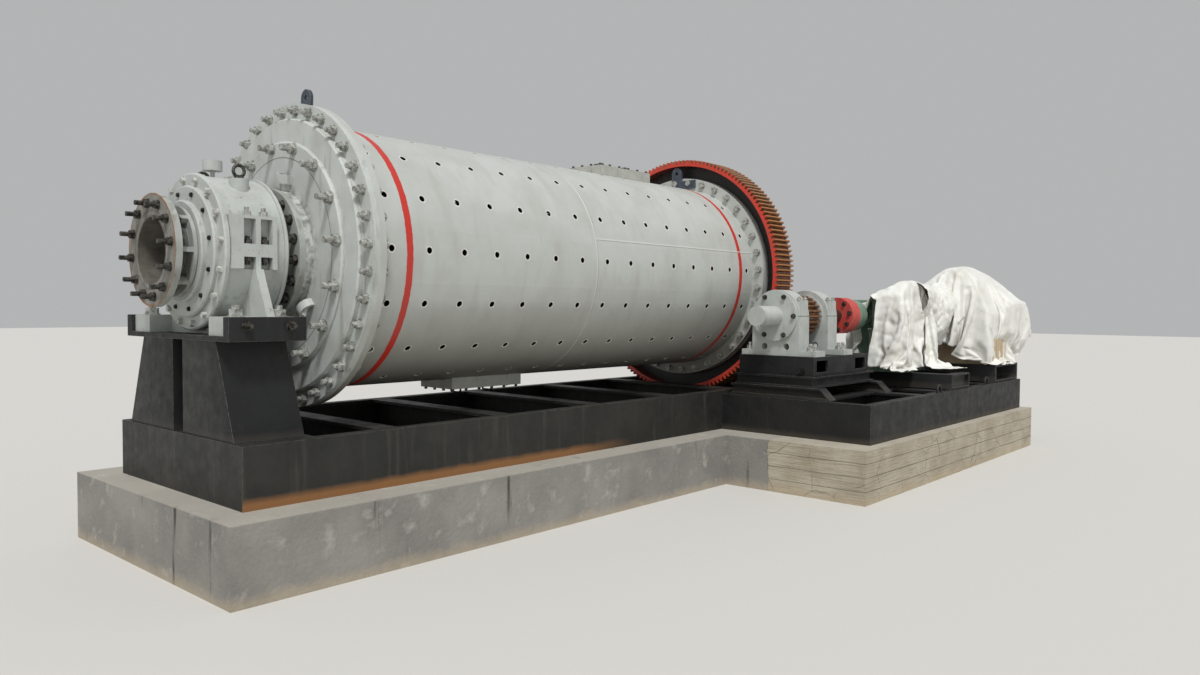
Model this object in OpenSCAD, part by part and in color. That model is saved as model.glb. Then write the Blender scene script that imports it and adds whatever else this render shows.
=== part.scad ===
// Ball mill: a horizontal drum in two trunnion bearings, turned by a
// girth gear and pinion, on steel frames and an L-shaped concrete plinth.
// X runs along the drum towards the gear, Y away from the drive, Z up.

/* [Drum] */
// Height of the drum axis over the ground
axis_z = 1972; // [1940:1:2040]
// Outside diameter of the shell
shell_d = 1840; // [1780:1:1880]
// Wall of the shell
shell_t = 20; // [14:1:30]
// Length of the shell over its end flanges
shell_len = 4530; // [4340:10:4700]
// Diameter of the flanges where shell and heads meet
flange_d = 2080; // [2040:1:2120]
// Thickness of a shell flange, and of a head's flange
flange_t = 45; // [36:1:52]
// Diameter of a liner bolt hole
liner_hole_d = 44; // [30:1:60]
// Distance from a shell flange to the first liner bolt hole
liner_end = 120; // [90:1:150]
// Number of liner bolt holes in a row
liner_holes = 15; // [9:2:15]
// Number of rows of liner bolt holes round the drum
liner_rows = 16; // [12:4:20]
// Angle by which the first row stands off the top, away from the drive
liner_turn = 2.3; // [0:0.1:10]
// Angle by which the plates' seams stand off the middle between two rows
seam_turn = 2.5; // [2:0.1:4]

/* [Manholes] */
// Length of a manhole along the drum
manhole_len = 740; // [640:10:800]
// Width of a manhole across the drum
manhole_w = 400; // [340:10:460]
// Height of the manhole's raised frame over the shell
manhole_frame_t = 50; // [40:1:60]
// Width of the raised frame's bars
manhole_bar = 60; // [40:1:80]
// Thickness of the manhole's cover plate
manhole_cover_t = 20; // [14:1:30]
// Where the top manhole stands along the drum
top_manhole_x = 1080; // [900:10:1200]
// Where the bottom manhole stands along the drum
bottom_manhole_x = -660; // [-900:10:-400]

/* [Heads] */
// Wall of a head
head_t = 55; // [40:1:70]
// Diameter of the raised band inside the flange
band_d = 1872; // [1800:1:1900]
// How far the band stands out from the flange
band_h = 43; // [30:1:60]
// Diameter of the raised disc inside the band
disc_d = 1560; // [1400:1:1640]
// How far the disc stands out from the band
disc_h = 24; // [15:1:40]
// How far the middle boss stands out from the disc
boss_h = 53; // [40:1:80]
// Bevel on the edges of band and disc
head_bevel = 12; // [4:1:20]
// Outside diameter of a bent lifting strap
strap_d = 150; // [120:1:180]
// Thickness of a lifting strap
strap_t = 18; // [12:1:24]
// Width of a lifting strap
strap_w = 62; // [45:1:80]
// Distance of the lifting straps from the drum's axis
strap_r = 530; // [500:1:600]

/* [Lifting plates] */
// Distance of a lifting plate's eye from the drum's axis
eye_r = 1095; // [1080:1:1120]
// Outside diameter of the eye
eye_d = 120; // [100:1:140]
// Diameter of the eye's hole
eye_hole_d = 46; // [35:1:60]
// Thickness of a lifting plate
eye_t = 25; // [18:1:30]
// Length of the foot that bolts to the flange
eye_foot_len = 290; // [240:1:340]
// Height of the foot that bolts to the flange
eye_foot_h = 84; // [70:1:90]

/* [Trunnions] */
// Diameter of the trunnion flange
trunnion_flange_d = 902; // [860:1:940]
// Thickness of the trunnion flange
trunnion_flange_t = 45; // [35:1:60]
// Diameter of the journal in the bearing
journal_d = 500; // [460:1:520]
// Diameter of the bore through the feed trunnion
bore_d = 410; // [360:1:420]
// How much wider the discharge bore is
bore_step = 20; // [10:2:30]
// Diameter of the collar outside the bearing
collar_d = 568; // [550:1:600]
// Thickness of the collar
collar_t = 24; // [18:1:34]
// Clearance between the collar and the bearing's seal ring
collar_gap = 5; // [5:1:8]
// Length of the open neck between collar and end flange
neck_len = 93; // [70:1:110]
// Wall of the neck round the feed bore
neck_wall = 20; // [18:1:30]
// Number of ribs round the neck
neck_ribs = 8; // [6:1:12]
// Thickness of a neck rib
neck_rib_t = 30; // [20:1:45]
// Diameter of the end flange
inlet_flange_d = 700; // [650:1:760]
// Thickness of the end flange
inlet_flange_t = 42; // [30:1:55]

/* [Girth gear] */
// Module of the gear teeth
gear_module = 16; // [15.5:0.1:16.5]
// Teeth of the girth gear
gear_teeth = 152; // [150:1:154]
// Teeth of the pinion
pinion_teeth = 23; // [21:1:25]
// Width of the girth gear's rim
gear_w = 300; // [280:1:310]
// How far the rim reaches back over the shell from the head's flange face
gear_lap = 127; // [110:1:140]
// Thickness of the rim under the teeth
gear_rim_t = 29; // [24:1:40]
// Thickness of the gear's web
gear_web_t = 45; // [30:1:60]
// Number of ribs behind the gear's web
gear_ribs = 12; // [8:1:16]
// Thickness of those ribs
gear_rib_t = 24; // [16:1:32]
// How far those ribs stop short of the rim's edge
gear_rib_in = 24; // [16:1:40]
// Play between the teeth, at the pitch circle
tooth_play = 3; // [1:0.1:5]

/* [Pinion and its bearings] */
// Depth of the pinion axis under the drum axis
pinion_drop = 406; // [380:1:440]
// Width of the pinion
pinion_w = 320; // [300:1:340]
// Diameter of the pinion shaft
pinion_shaft_d = 130; // [100:1:150]
// Outside diameter of a pinion bearing's cover
pinion_cover_d = 472; // [440:1:500]
// Thickness of a pinion bearing's outer cover
pinion_cover_t = 26; // [18:1:34]
// Diameter of a pinion bearing's inner cover
pinion_seal_d = 400; // [360:1:430]
// Diameter of the closed cap over the shaft's end
shaft_cap_d = 188; // [170:1:210]
// Length of the closed cap
shaft_cap_len = 320; // [280:1:340]
// Thickness of a pinion bearing along its shaft
pinion_housing_w = 190; // [160:1:200]
// Clearance between pinion and bearing housings
pinion_gap = 28; // [20:1:36]
// Length of the lugs that join a pinion bearing's halves
pinion_lug_len = 140; // [110:1:150]
// Height of the lugs that join a pinion bearing's halves
pinion_lug_h = 150; // [120:1:170]
// Half of a pinion bearing's width across the shaft
pinion_body_half = 252; // [240:1:264]
// Height of the pinion axis over the bearings' feet
pinion_centre_h = 376; // [360:1:400]
// Reach of a pinion bearing's feet on the open side
pinion_foot_near = 425; // [400:1:428]
// Reach of a pinion bearing's feet towards the girth gear
pinion_foot_far = 370; // [340:1:372]
// Thickness of a pinion bearing's feet
pinion_foot_h = 52; // [40:1:65]
// Diameter of the two holes in a pinion bearing's base
base_hole_d = 64; // [50:1:76]
// Distance of each of those holes from the shaft's plane
base_hole_y = 118; // [105:1:135]
// Depth of those holes under the shaft's axis
base_hole_drop = 290; // [280:1:295]
// Diameter of a pinion bearing's round body
pinion_round_d = 500; // [490:1:520]
// Thickness of a pinion bearing's inner cover
pinion_seal_t = 14; // [8:1:18]
// Clearance between the pinion shaft and its bearings
shaft_gap = 0.05; // [0.05:0.05:0.2]
// Diameter of the coupling
coupling_d = 380; // [340:1:420]
// Length of the pinion's coupling half
coupling_half = 180; // [150:1:200]
// Length of the reducer's coupling half
coupling_back = 214; // [190:1:230]
// How much smaller the reducer's coupling half is
coupling_step = 50; // [30:1:60]
// Gap between the coupling halves
coupling_gap = 6; // [5:1:10]
// Distance from the far pinion bearing's cover to the coupling
coupling_reach = 463; // [420:1:480]

/* [Trunnion bearings] */
// Diameter of the bearing housing
housing_d = 970; // [940:1:980]
// Width of the bearing housing along the drum
housing_w = 356; // [340:1:370]
// How much larger the outer cover plate is than the housing
cover_over = 26; // [10:1:34]
// Thickness of the outer cover plate
cover_t = 30; // [20:1:40]
// Diameter of the raised ring on a cover
cover_ring_d = 832; // [780:1:860]
// Thickness of the raised ring on a cover
cover_ring_t = 31; // [20:1:40]
// Diameter of the seal ring on a cover
seal_d = 644; // [620:1:680]
// Thickness of the seal ring on a cover
seal_t = 33; // [20:1:40]
// Bevel on a cover's rings
cover_bevel = 10; // [4:1:16]
// Distance from trunnion flange to the bearing's inner seal ring
seal_gap = 31; // [20:1:50]
// How far the bearing's split lugs reach past the housing
lug_over = 23; // [10:1:40]
// How far the split lugs stand in from the housing's outer face
lug_in = 5; // [1:1:20]
// Solid part of a lug before its pockets
lug_lead = 76; // [60:1:90]
// Length of the split lugs along the drum
lug_len = 292; // [270:1:310]
// Height of the upper split lug over the split
lug_up = 213; // [190:1:230]
// Depth of the lower split lug under the split
lug_down = 114; // [95:1:130]
// Thickness of the lugs' flanges at the split
lug_flange = 40; // [30:1:50]
// Depth of the pockets in the lugs
lug_pocket = 56; // [40:1:64]
// Wall between the pockets in the lugs
lug_wall = 32; // [24:1:44]
// Thickness of the rib under a lug
web_t = 52; // [40:1:70]
// How far the rib stands in from the foot's end
web_in = 19; // [10:1:40]
// Height of the bearing's foot
foot_h = 113; // [90:1:130]
// Length of each of the foot's two blocks across the drum
foot_block = 234; // [200:1:250]
// Gap between the foot and its stop bars
foot_gap = 1; // [1:0.5:3]
// Length of the foot along the drum
foot_len = 440; // [400:1:450]
// How far the pedestal's middle lies outside the housing's middle
foot_shift = 61; // [50:1:66]
// How far the saddle under the housing stands in from its faces
saddle_in = 40; // [30:1:60]
// Diameter of the bosses under the eye bolts
eye_boss_d = 120; // [100:1:140]
// Distance of the eye bolts from the drum's upright plane
eye_boss_y = 250; // [230:1:270]
// Diameter of the breather's cap
breather_d = 120; // [100:1:140]
// Height of the breather's cap
breather_h = 64; // [50:1:75]
// Diameter of the breather's stem
breather_stem_d = 28; // [20:1:36]
// Length of the breather's stem over the housing
breather_stem = 43; // [35:1:55]
// Distance from the breather to the housing's middle
breather_off = 52; // [30:1:70]
// How far the eye bolts' bosses stay under the housing's top
eye_boss_drop = 25; // [15:1:30]
// Clearance between a journal and its bearing
journal_gap = 0.3; // [0.3:0.1:0.5]
// Clearance between a turning neck and a cover
cover_gap = 6; // [5:1:8]

/* [Bearing pedestals] */
// Thickness of the top plate
pedestal_plate_t = 32; // [25:1:40]
// Half of the top plate's length across the drum
pedestal_half = 735; // [730:1:760]
// Width of the top plate along the drum
pedestal_w = 492; // [480:1:520]
// Clearance from top plate to the bearing's covers
pedestal_clear = 19; // [12:1:30]
// Half of the columns' spread at the top
column_top_half = 520; // [500:1:600]
// Half of the columns' spread at the bottom
column_foot_half = 745; // [730:1:800]
// Half of the slot between the two columns
column_slot = 70; // [50:1:90]
// How far the columns stand in from the top plate's edges
column_inset = 22; // [15:1:40]
// Thickness of the columns' plates
column_t = 20; // [14:1:30]
// Thickness of the stop bars beside the bearing's foot
stop_bar_t = 70; // [60:1:71]

/* [Frames] */
// Height of the plinth
plinth_h = 460; // [420:1:500]
// Height of the main frame
main_frame_h = 375; // [350:1:400]
// Length of the main frame
main_frame_len = 6150; // [6120:2:6300]
// Half of the main frame's width
main_frame_half = 872; // [850:1:900]
// Number of bays in the main frame
main_bays = 6; // [5:1:6]
// How far the drive frame starts before the stepped frame
drive_frame_lead = 116; // [100:1:130]
// Length of the drive frame
drive_frame_len = 4150; // [4000:10:4300]
// Width of the drive frame
drive_frame_w = 1524; // [1500:1:1560]
// Distance of the drive frame's inner beam from its open side
drive_beam_in = 616; // [580:1:640]
// Distance of the first cross plate from the drive frame's start
cross_1 = 1286; // [1250:1:1320]
// Distance of the second cross plate from the drive frame's start
cross_2 = 1836; // [1800:1:1870]
// Distance of the third cross plate from the drive frame's start
cross_3 = 3136; // [3100:1:3170]
// Width of the frames' top flanges
frame_flange = 90; // [70:1:110]
// Width of a lifting loop on the drive frame
loop_w = 120; // [100:1:140]
// Height of a lifting loop
loop_h = 89; // [75:1:100]
// Diameter of a lifting loop's bar
loop_d = 24; // [18:1:30]
// Distance of the first lifting loop from the drive frame's start
loop_1 = 1616; // [1560:1:1660]
// Distance of the second lifting loop from the drive frame's start
loop_2 = 3006; // [2950:1:3050]
// Thickness of the frames' plates
frame_t = 22; // [16:1:30]
// How far the plinth reaches past the main frame's ends
plinth_end = 204; // [100:1:260]
// How far the plinth reaches past the main frame's sides
plinth_side = 265; // [200:1:300]
// How far the drive's plinth starts before its frame
drive_plinth_lead = 314; // [260:1:340]
// How far the drive's plinth reaches past its frame on the open side
drive_plinth_side = 110; // [80:1:140]
// How far the drive's plinth reaches past its frame's end
drive_plinth_tail = 90; // [70:1:120]

/* [Drive stand] */
// Height of the box under the pinion bearings
sub_base_h = 180; // [160:1:200]
// How far that box starts before the near pinion bearing
sub_base_lead = 31; // [28:1:50]
// Length of that box along the shaft
sub_base_len = 1096; // [1060:1:1140]
// Reach of that box from the shaft on the open side
sub_base_near = 430; // [428:1:450]
// Reach of that box from the shaft towards the girth gear
sub_base_far = 376; // [374:1:380]
// Wall of that box
sub_base_t = 24; // [18:1:30]
// Width of the box's side windows
window_w = 218; // [200:1:230]
// Height of the box's side windows
window_h = 108; // [95:1:116]
// Distance of the first window from the box's end
window_lead = 49; // [40:1:60]
// Distance from one window to the next
window_pitch = 788; // [740:1:800]
// Height of the stepped frame under the box
step_h = 105; // [95:1:115]
// Length of the stepped frame
step_len = 1270; // [1240:1:1300]
// How far the stepped frame reaches past the box
step_out = 44; // [36:1:52]
// Width of the stepped frame's bars
step_bar = 110; // [100:1:130]
// Thickness of the flanges on frame bars and beams
step_t = 18; // [12:1:24]
// Depth of the channels between those flanges
channel_in = 34; // [20:1:44]
// Height of the cross beams under the stepped frame
beam_h = 99; // [90:1:110]
// Width of those cross beams
beam_w = 120; // [100:1:140]
// Reach of the cross beams from the shaft on the open side
beam_near = 620; // [600:1:640]
// Reach of the cross beams from the shaft towards the drum
beam_far = 440; // [420:1:450]
// Run of the cross beams' sloping ends
beam_run = 100; // [80:1:110]
// Where the reducer's sub-frame starts, from the drive frame's start
reducer_frame_x = 2056; // [2030:1:2080]
// Length of the reducer's sub-frame
reducer_frame_len = 510; // [480:1:540]
// Height of the reducer's sub-frame
reducer_frame_h = 155; // [140:1:170]
// Where the motor's sub-frame starts, from the drive frame's start
motor_frame_x = 3376; // [3350:1:3400]
// Length of the motor's sub-frame
motor_frame_len = 810; // [780:1:830]
// Height of the motor's sub-frame
motor_frame_h = 192; // [175:1:210]
// Width of the motor's sub-frame across the shaft
motor_frame_w = 1050; // [1000:1:1080]
// How far both sub-frames stand in from the frame's open side
sub_frame_in = 56; // [46:1:66]

/* [Reducer and motor] */
// Thickness of the reducer's foot
reducer_foot_h = 46; // [35:1:60]
// Where the reducer's foot starts, before its sub-frame
reducer_foot_lead = 120; // [100:1:140]
// Length of the reducer's foot
reducer_foot_len = 620; // [590:1:640]
// Reach of the reducer's foot from the shaft on the open side
reducer_near = 520; // [500:1:540]
// Reach of the reducer's foot from the shaft towards the drum
reducer_far = 340; // [320:1:350]
// Height of the wrapped reducer over its foot
reducer_top = 965; // [930:1:990]
// Where the wrapped reducer starts, before its sub-frame
wrap_lead = 200; // [190:1:215]
// Where the wrap round the reducer's shaft starts, after its front
wrap_step = 240; // [220:1:260]
// Reach of that part of the wrap beyond the shaft
wrap_far = 200; // [180:1:230]
// Height of the motor's casing that stays bare
motor_bare_h = 300; // [280:1:310]
// Width of the motor's casing
motor_w = 940; // [900:1:950]
// Length of the motor's casing
motor_len = 730; // [700:1:750]
// How far the motor's casing stands in from its sub-frame's start
motor_in = 60; // [50:1:70]
// Height of the wrapped motor over its sub-frame
motor_top = 1165; // [1130:1:1190]
// How far the motor's wrap starts before its sub-frame
motor_wrap_lead = 80; // [70:1:90]
// Length of the motor's wrap
motor_wrap_len = 900; // [880:1:920]
// Width of the motor's wrap at its foot
motor_wrap_w = 990; // [970:1:1000]
// Reach of the wrapped terminal box from the frame's open side
terminal_out = 44; // [30:1:60]
// Height of the wrapped terminal box
terminal_h = 420; // [390:1:450]
// Length of the wrapped terminal box
terminal_len = 500; // [470:1:520]
// Height of the terminal box's underside over the sub-frame
terminal_z = 322; // [305:1:340]
// Thickness of the wrap that hangs between reducer and motor
swag_h = 470; // [440:1:490]
// Height of that wrap's underside over the motor's sub-frame
swag_z = 410; // [390:1:430]
// Width of that wrap
swag_w = 500; // [460:1:520]

/* [Hidden] */
round_n = 240;
fine_n = 96;
small_n = 48;
fit = 0.3;
over = 1;

// The drum's axis and the places along it, from the middle outwards
shell_r = shell_d / 2;
half_len = shell_len / 2;
liner_pitch = (shell_len - 2 * flange_t - 2 * liner_end) / (liner_holes - 1);
head_face_x = half_len + flange_t;
band_face_x = head_face_x + band_h;
disc_face_x = band_face_x + disc_h;
boss_face_x = disc_face_x + boss_h;
journal_x = boss_face_x + trunnion_flange_t;
housing_x0 = journal_x + seal_gap + seal_t + cover_ring_t + cover_t;
housing_x1 = housing_x0 + housing_w;
mid_x = (housing_x0 + housing_x1) / 2;
outer_face_x = housing_x1 + cover_t + cover_ring_t + seal_t;
collar_x = outer_face_x + collar_gap;
neck_x = collar_x + collar_t;
inlet_x = neck_x + neck_len;
inlet_face_x = inlet_x + inlet_flange_t;
neck_r = bore_d / 2 + neck_wall;
spigot_r = shell_r - shell_t - 2;
shell_end = half_len - flange_t;
strip_row = floor(liner_rows / 4);
head_bore_r = bore_d / 2 + 2 * neck_wall;

// The gear pair
pitch_r = gear_module * gear_teeth / 2;
rim_r = pitch_r - 1.25 * gear_module - gear_rim_t;
pinion_r = gear_module * pinion_teeth / 2;
centre_dist = pitch_r + pinion_r;
pinion_z = axis_z - pinion_drop;
pinion_y = -sqrt(centre_dist * centre_dist - pinion_drop * pinion_drop);
mesh_angle = atan2(-pinion_drop, pinion_y);
gear_x0 = head_face_x - gear_lap;
gear_x1 = gear_x0 + gear_w;
pinion_x0 = (gear_x0 + gear_x1 - pinion_w) / 2;
pinion_x1 = pinion_x0 + pinion_w;
near_housing_x1 = pinion_x0 - pinion_gap;
near_housing_x0 = near_housing_x1 - pinion_housing_w;
far_housing_x0 = pinion_x1 + pinion_gap;
far_housing_x1 = far_housing_x0 + pinion_housing_w;
coupling_x0 = far_housing_x1 + pinion_cover_t + coupling_reach;
coupling_x1 = coupling_x0 + coupling_half;

// The trunnion bearings and their pedestals
housing_r = housing_d / 2;
cover_r = housing_r + cover_over / 2;
lug_half = housing_r + lug_over;
lug_x1 = housing_x1 - lug_in;
lug_x0 = lug_x1 - lug_len;
pocket_w = (lug_len - lug_lead - 2 * lug_wall) / 2;
pedestal_top = axis_z - cover_r - pedestal_clear;
foot_z1 = pedestal_top + foot_h;
foot_half = pedestal_half - stop_bar_t - foot_gap;
foot_in = foot_half - foot_block;
foot_x0 = mid_x + foot_shift - foot_len / 2;
pedestal_x0 = mid_x + foot_shift - pedestal_w / 2;
pedestal_x1 = pedestal_x0 + pedestal_w;

// The frames, from the ground upwards
main_frame_z1 = plinth_h + main_frame_h;
sub_base_z1 = pinion_z - pinion_centre_h;
sub_base_z0 = sub_base_z1 - sub_base_h;
step_z0 = sub_base_z0 - step_h;
drive_frame_z1 = step_z0 - beam_h;
drive_frame_y1 = -main_frame_half;
drive_frame_y0 = drive_frame_y1 - drive_frame_w;
drive_beam_y = drive_frame_y0 + drive_beam_in;
plinth_half = main_frame_half + plinth_side;
plinth_x = main_frame_len / 2 + plinth_end;
lip = frame_flange - frame_t;
sub_base_x0 = near_housing_x0 - sub_base_lead;
step_x0 = sub_base_x0 - step_out;
drive_frame_x = step_x0 - drive_frame_lead;
drive_frame_x1 = drive_frame_x + drive_frame_len;
sub_frame_y0 = drive_frame_y0 + sub_frame_in;
reducer_x0 = drive_frame_x + reducer_frame_x;
reducer_z0 = drive_frame_z1 + reducer_frame_h;
reducer_z1 = reducer_z0 + reducer_foot_h;
wrap_x0 = reducer_x0 - wrap_lead;
wrap_x1 = reducer_x0 + reducer_frame_len;
motor_x0 = drive_frame_x + motor_frame_x;
motor_z0 = drive_frame_z1 + motor_frame_h;
motor_wrap_x0 = motor_x0 - motor_wrap_lead;

// Turns a solid drawn upright into one that lies along the drum axis
module along_x() {
    rotate([90, 0, 90]) children();
}

module disc(x0, x1, r, n = round_n) {
    translate([x0, 0, axis_z]) along_x() cylinder(h = x1 - x0, r = r, $fn = n);
}

// A body turned round the drum axis, from points of radius and place along X
module turned(points) {
    translate([0, 0, axis_z]) rotate([0, 90, 0])
        rotate_extrude($fn = round_n) polygon(points);
}

// The feed end repeats the discharge end, seen from the other side
module feed_end() {
    mirror([1, 0, 0]) children();
}

module both_sides() {
    children();
    mirror([0, 1, 0]) children();
}

module box(x0, x1, y0, y1, z0, z1) {
    translate([x0, y0, z0]) cube([x1 - x0, y1 - y0, z1 - z0]);
}

// A flat outline of Y and Z, carried along X
module profile_yz(x0, x1, points) {
    translate([x0, 0, 0]) along_x() linear_extrude(height = x1 - x0) polygon(points);
}

// A flat outline of X and Z, carried along Y
module profile_xz(y0, y1, points) {
    translate([0, y1, 0]) rotate([90, 0, 0]) linear_extrude(height = y1 - y0) polygon(points);
}

function inv(a) = tan(a) - a * PI / 180;
function flank(r, rp, z) = 90 / z - tooth_play / 4 / rp * 180 / PI
    + (inv(20) - inv(acos(min(1, rp * cos(20) / r)))) * 180 / PI;
function polar(r, a) = [r * cos(a), r * sin(a)];

// One gear outline with involute flanks, a tooth centred on angle a0
function gear_outline(z, a0, steps) = let (
        rp = gear_module * z / 2,
        root = rp - 1.25 * gear_module,
        tip = rp + gear_module,
        low = max(root, rp * cos(20)),
        radii = [for (i = [0 : steps]) low + (tip - low) * i / steps])
    [for (k = [0 : z - 1]) let (a = a0 + k * 360 / z) each concat(
        [polar(root, a - flank(low, rp, z))],
        [for (r = radii) if (r > root) polar(r, a - flank(r, rp, z))],
        [for (i = [steps : -1 : 0]) if (radii[i] > root) polar(radii[i], a + flank(radii[i], rp, z))],
        [polar(root, a + flank(low, rp, z))])];

// The seam before a row of holes, and the seams round the rest of the drum
function seam(row) = (row - 0.5) * 360 / liner_rows - liner_turn + seam_turn;
function plate_row(i) = strip_row + 1 + round((i - 1) * (liner_rows - 1) / 5);

// A plate of the shell from one row to before another, between the flanges
module shell_plate(row0, row1) {
    reach = 2 * shell_r;
    a0 = seam(row0);
    a1 = seam(row1);
    color("gainsboro") difference() {
        intersection() {
            disc(-shell_end, shell_end, shell_r);
            profile_yz(-shell_end, shell_end, [[0, axis_z],
                [-reach * sin(a0), axis_z + reach * cos(a0)],
                [-reach * sin(a1), axis_z + reach * cos(a1)]]);
        }
        disc(-half_len, half_len, shell_r - shell_t);
        for (row = [row0 : row1 - 1]) liner_row(row);
        manhole_window(top_manhole_x, axis_z, axis_z + shell_d);
        manhole_window(bottom_manhole_x, axis_z - shell_d, axis_z);
    }
}

// The ring at the shell's end that the head is bolted to
module shell_flange() {
    color("gainsboro") difference() {
        disc(shell_end, half_len, flange_d / 2);
        disc(shell_end - over, half_len + over, shell_r - shell_t);
    }
}

module liner_row(row) {
    for (i = [0 : liner_holes - 1])
        translate([(i - (liner_holes - 1) / 2) * liner_pitch, 0, axis_z])
            rotate([row * 360 / liner_rows - liner_turn, 0, 0])
                translate([0, 0, shell_r - 2 * shell_t])
                    cylinder(h = 3 * shell_t, d = liner_hole_d, $fn = 24);
}

module manhole_window(x, z0, z1) {
    x_half = manhole_len / 2 - manhole_bar;
    y_half = manhole_w / 2 - manhole_bar;
    box(x - x_half, x + x_half, -y_half, y_half, z0, z1);
}

// A raised frame with its cover plate, on top of the shell
module manhole(x) {
    x_half = manhole_len / 2;
    y_half = manhole_w / 2;
    top = axis_z + shell_r + manhole_frame_t;
    color("gainsboro") {
        difference() {
            box(x - x_half, x + x_half, -y_half, y_half, axis_z, top);
            disc(x - manhole_len, x + manhole_len, shell_r + fit);
            manhole_window(x, axis_z, top + over);
        }
        box(x - x_half + fit, x + x_half - fit, -y_half + fit, y_half - fit, top, top + manhole_cover_t);
    }
}

module head() {
    color("gainsboro") {
        turned([
            [head_bore_r, half_len], [disc_d / 2 - head_t, half_len],
            [spigot_r, half_len - flange_t / 2], [spigot_r, half_len],
            [flange_d / 2, half_len], [flange_d / 2, head_face_x],
            [band_d / 2, head_face_x], [band_d / 2, band_face_x - head_bevel],
            [band_d / 2 - head_bevel, band_face_x], [disc_d / 2, band_face_x],
            [disc_d / 2, disc_face_x - head_bevel], [disc_d / 2 - head_bevel, disc_face_x],
            [trunnion_flange_d / 2, disc_face_x], [trunnion_flange_d / 2, boss_face_x],
            [head_bore_r, boss_face_x]]);
        for (a = [13 : 120 : 253]) head_strap(a);
    }
}

// A bent strap that stands out from the head, to lift it by
module head_strap(a) {
    translate([disc_face_x, 0, axis_z]) rotate([a, 0, 0]) difference() {
        translate([0, 0, strap_r - strap_w / 2]) cylinder(h = strap_w, d = strap_d, $fn = small_n);
        translate([0, 0, strap_r - strap_w]) cylinder(h = 2 * strap_w, d = strap_d - 2 * strap_t,
            $fn = small_n);
        box(-strap_d, -over, -strap_d, strap_d, strap_r - strap_w, strap_r + strap_w);
    }
}

// A plate with an eye, against the inner face of the shell's flange
module lifting_plate(a) {
    x1 = shell_end;
    x0 = x1 - eye_t;
    z0 = shell_r + 4;
    eye_r_out = eye_d / 2;
    color("darkslategray") translate([0, 0, axis_z]) rotate([a, 0, 0]) difference() {
        union() {
            box(x0, x1, eye_r_out - eye_foot_len, eye_r_out, z0, z0 + eye_foot_h);
            box(x0, x1, -eye_r_out, eye_r_out, z0, eye_r);
            translate([x0, 0, eye_r]) along_x() cylinder(h = eye_t, r = eye_r_out, $fn = small_n);
        }
        translate([x0 - over, 0, eye_r]) along_x() cylinder(h = eye_t + 2 * over, d = eye_hole_d,
            $fn = small_n);
    }
}

module trunnion(bore) {
    color("gainsboro") difference() {
        union() {
            disc(boss_face_x, journal_x, trunnion_flange_d / 2);
            disc(journal_x - over, neck_x - over, journal_d / 2);
            disc(collar_x, neck_x, collar_d / 2);
            disc(neck_x - over, inlet_x + over, neck_r);
            disc(inlet_x, inlet_face_x, inlet_flange_d / 2);
            for (i = [0 : neck_ribs - 1])
                translate([0, 0, axis_z]) rotate([i * 360 / neck_ribs, 0, 0])
                    box(neck_x - over, inlet_x + over, -neck_rib_t / 2, neck_rib_t / 2, neck_r - over,
                        collar_d / 2);
        }
        disc(half_len, inlet_face_x + over, bore / 2);
    }
}

module girth_gear() {
    color("firebrick") {
        difference() {
            translate([gear_x0, 0, axis_z]) along_x() linear_extrude(height = gear_w)
                polygon(gear_outline(gear_teeth, mesh_angle, 3));
            disc(gear_x0 - over, head_face_x, rim_r);
            disc(head_face_x + gear_web_t, gear_x1 + over, rim_r);
            disc(head_face_x - over, head_face_x + gear_web_t + over, band_d / 2 + fit);
        }
        for (i = [0 : gear_ribs - 1])
            translate([0, 0, axis_z]) rotate([(i + 0.5) * 360 / gear_ribs, 0, 0])
                box(head_face_x + gear_web_t - over, gear_x1 - gear_rib_in, -gear_rib_t / 2, gear_rib_t / 2,
                    band_d / 2 + gear_rib_in, rim_r + over);
    }
}

// The housing's round body with a square block from it to each split lug
module bearing_half(z0, z1) {
    difference() {
        union() {
            disc(housing_x0, housing_x1, housing_r);
            box(lug_x0, lug_x1, -lug_half, lug_half, axis_z - lug_down, axis_z + lug_up);
        }
        box(housing_x0 - over, housing_x1 + over, -lug_half - over, lug_half + over, z0, z1);
        both_sides() lug_pockets(axis_z + lug_flange, axis_z + lug_up - lug_flange / 2);
        both_sides() lug_pockets(axis_z - lug_down - over, axis_z - lug_flange);
        disc(housing_x0 - over, housing_x1 + over, journal_d / 2 + journal_gap);
    }
}

module lug_pockets(z0, z1) {
    first_x = lug_x0 + lug_wall;
    second_x = first_x + pocket_w + lug_wall;
    box(first_x, first_x + pocket_w, lug_half - lug_pocket, lug_half + over, z0, z1);
    box(second_x, second_x + pocket_w, lug_half - lug_pocket, lug_half + over, z0, z1);
}

module bearing_base() {
    color("silver") {
        bearing_half(axis_z, axis_z + housing_d);
        difference() {
            union() {
                box(housing_x0 + saddle_in, housing_x1 - saddle_in, -foot_in - over, foot_in + over,
                    pedestal_top, foot_z1);
                both_sides() box(foot_x0, foot_x0 + foot_len, foot_in, foot_half, pedestal_top, foot_z1);
                both_sides() profile_yz(mid_x - web_t / 2, mid_x + web_t / 2, [
                    [0, foot_z1 - over], [foot_half - web_in, foot_z1 - over],
                    [lug_half, axis_z - lug_down + over], [0, axis_z - lug_down + over]]);
            }
            disc(housing_x0 - over, housing_x1 + over, journal_d / 2 + journal_gap);
        }
    }
}

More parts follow.
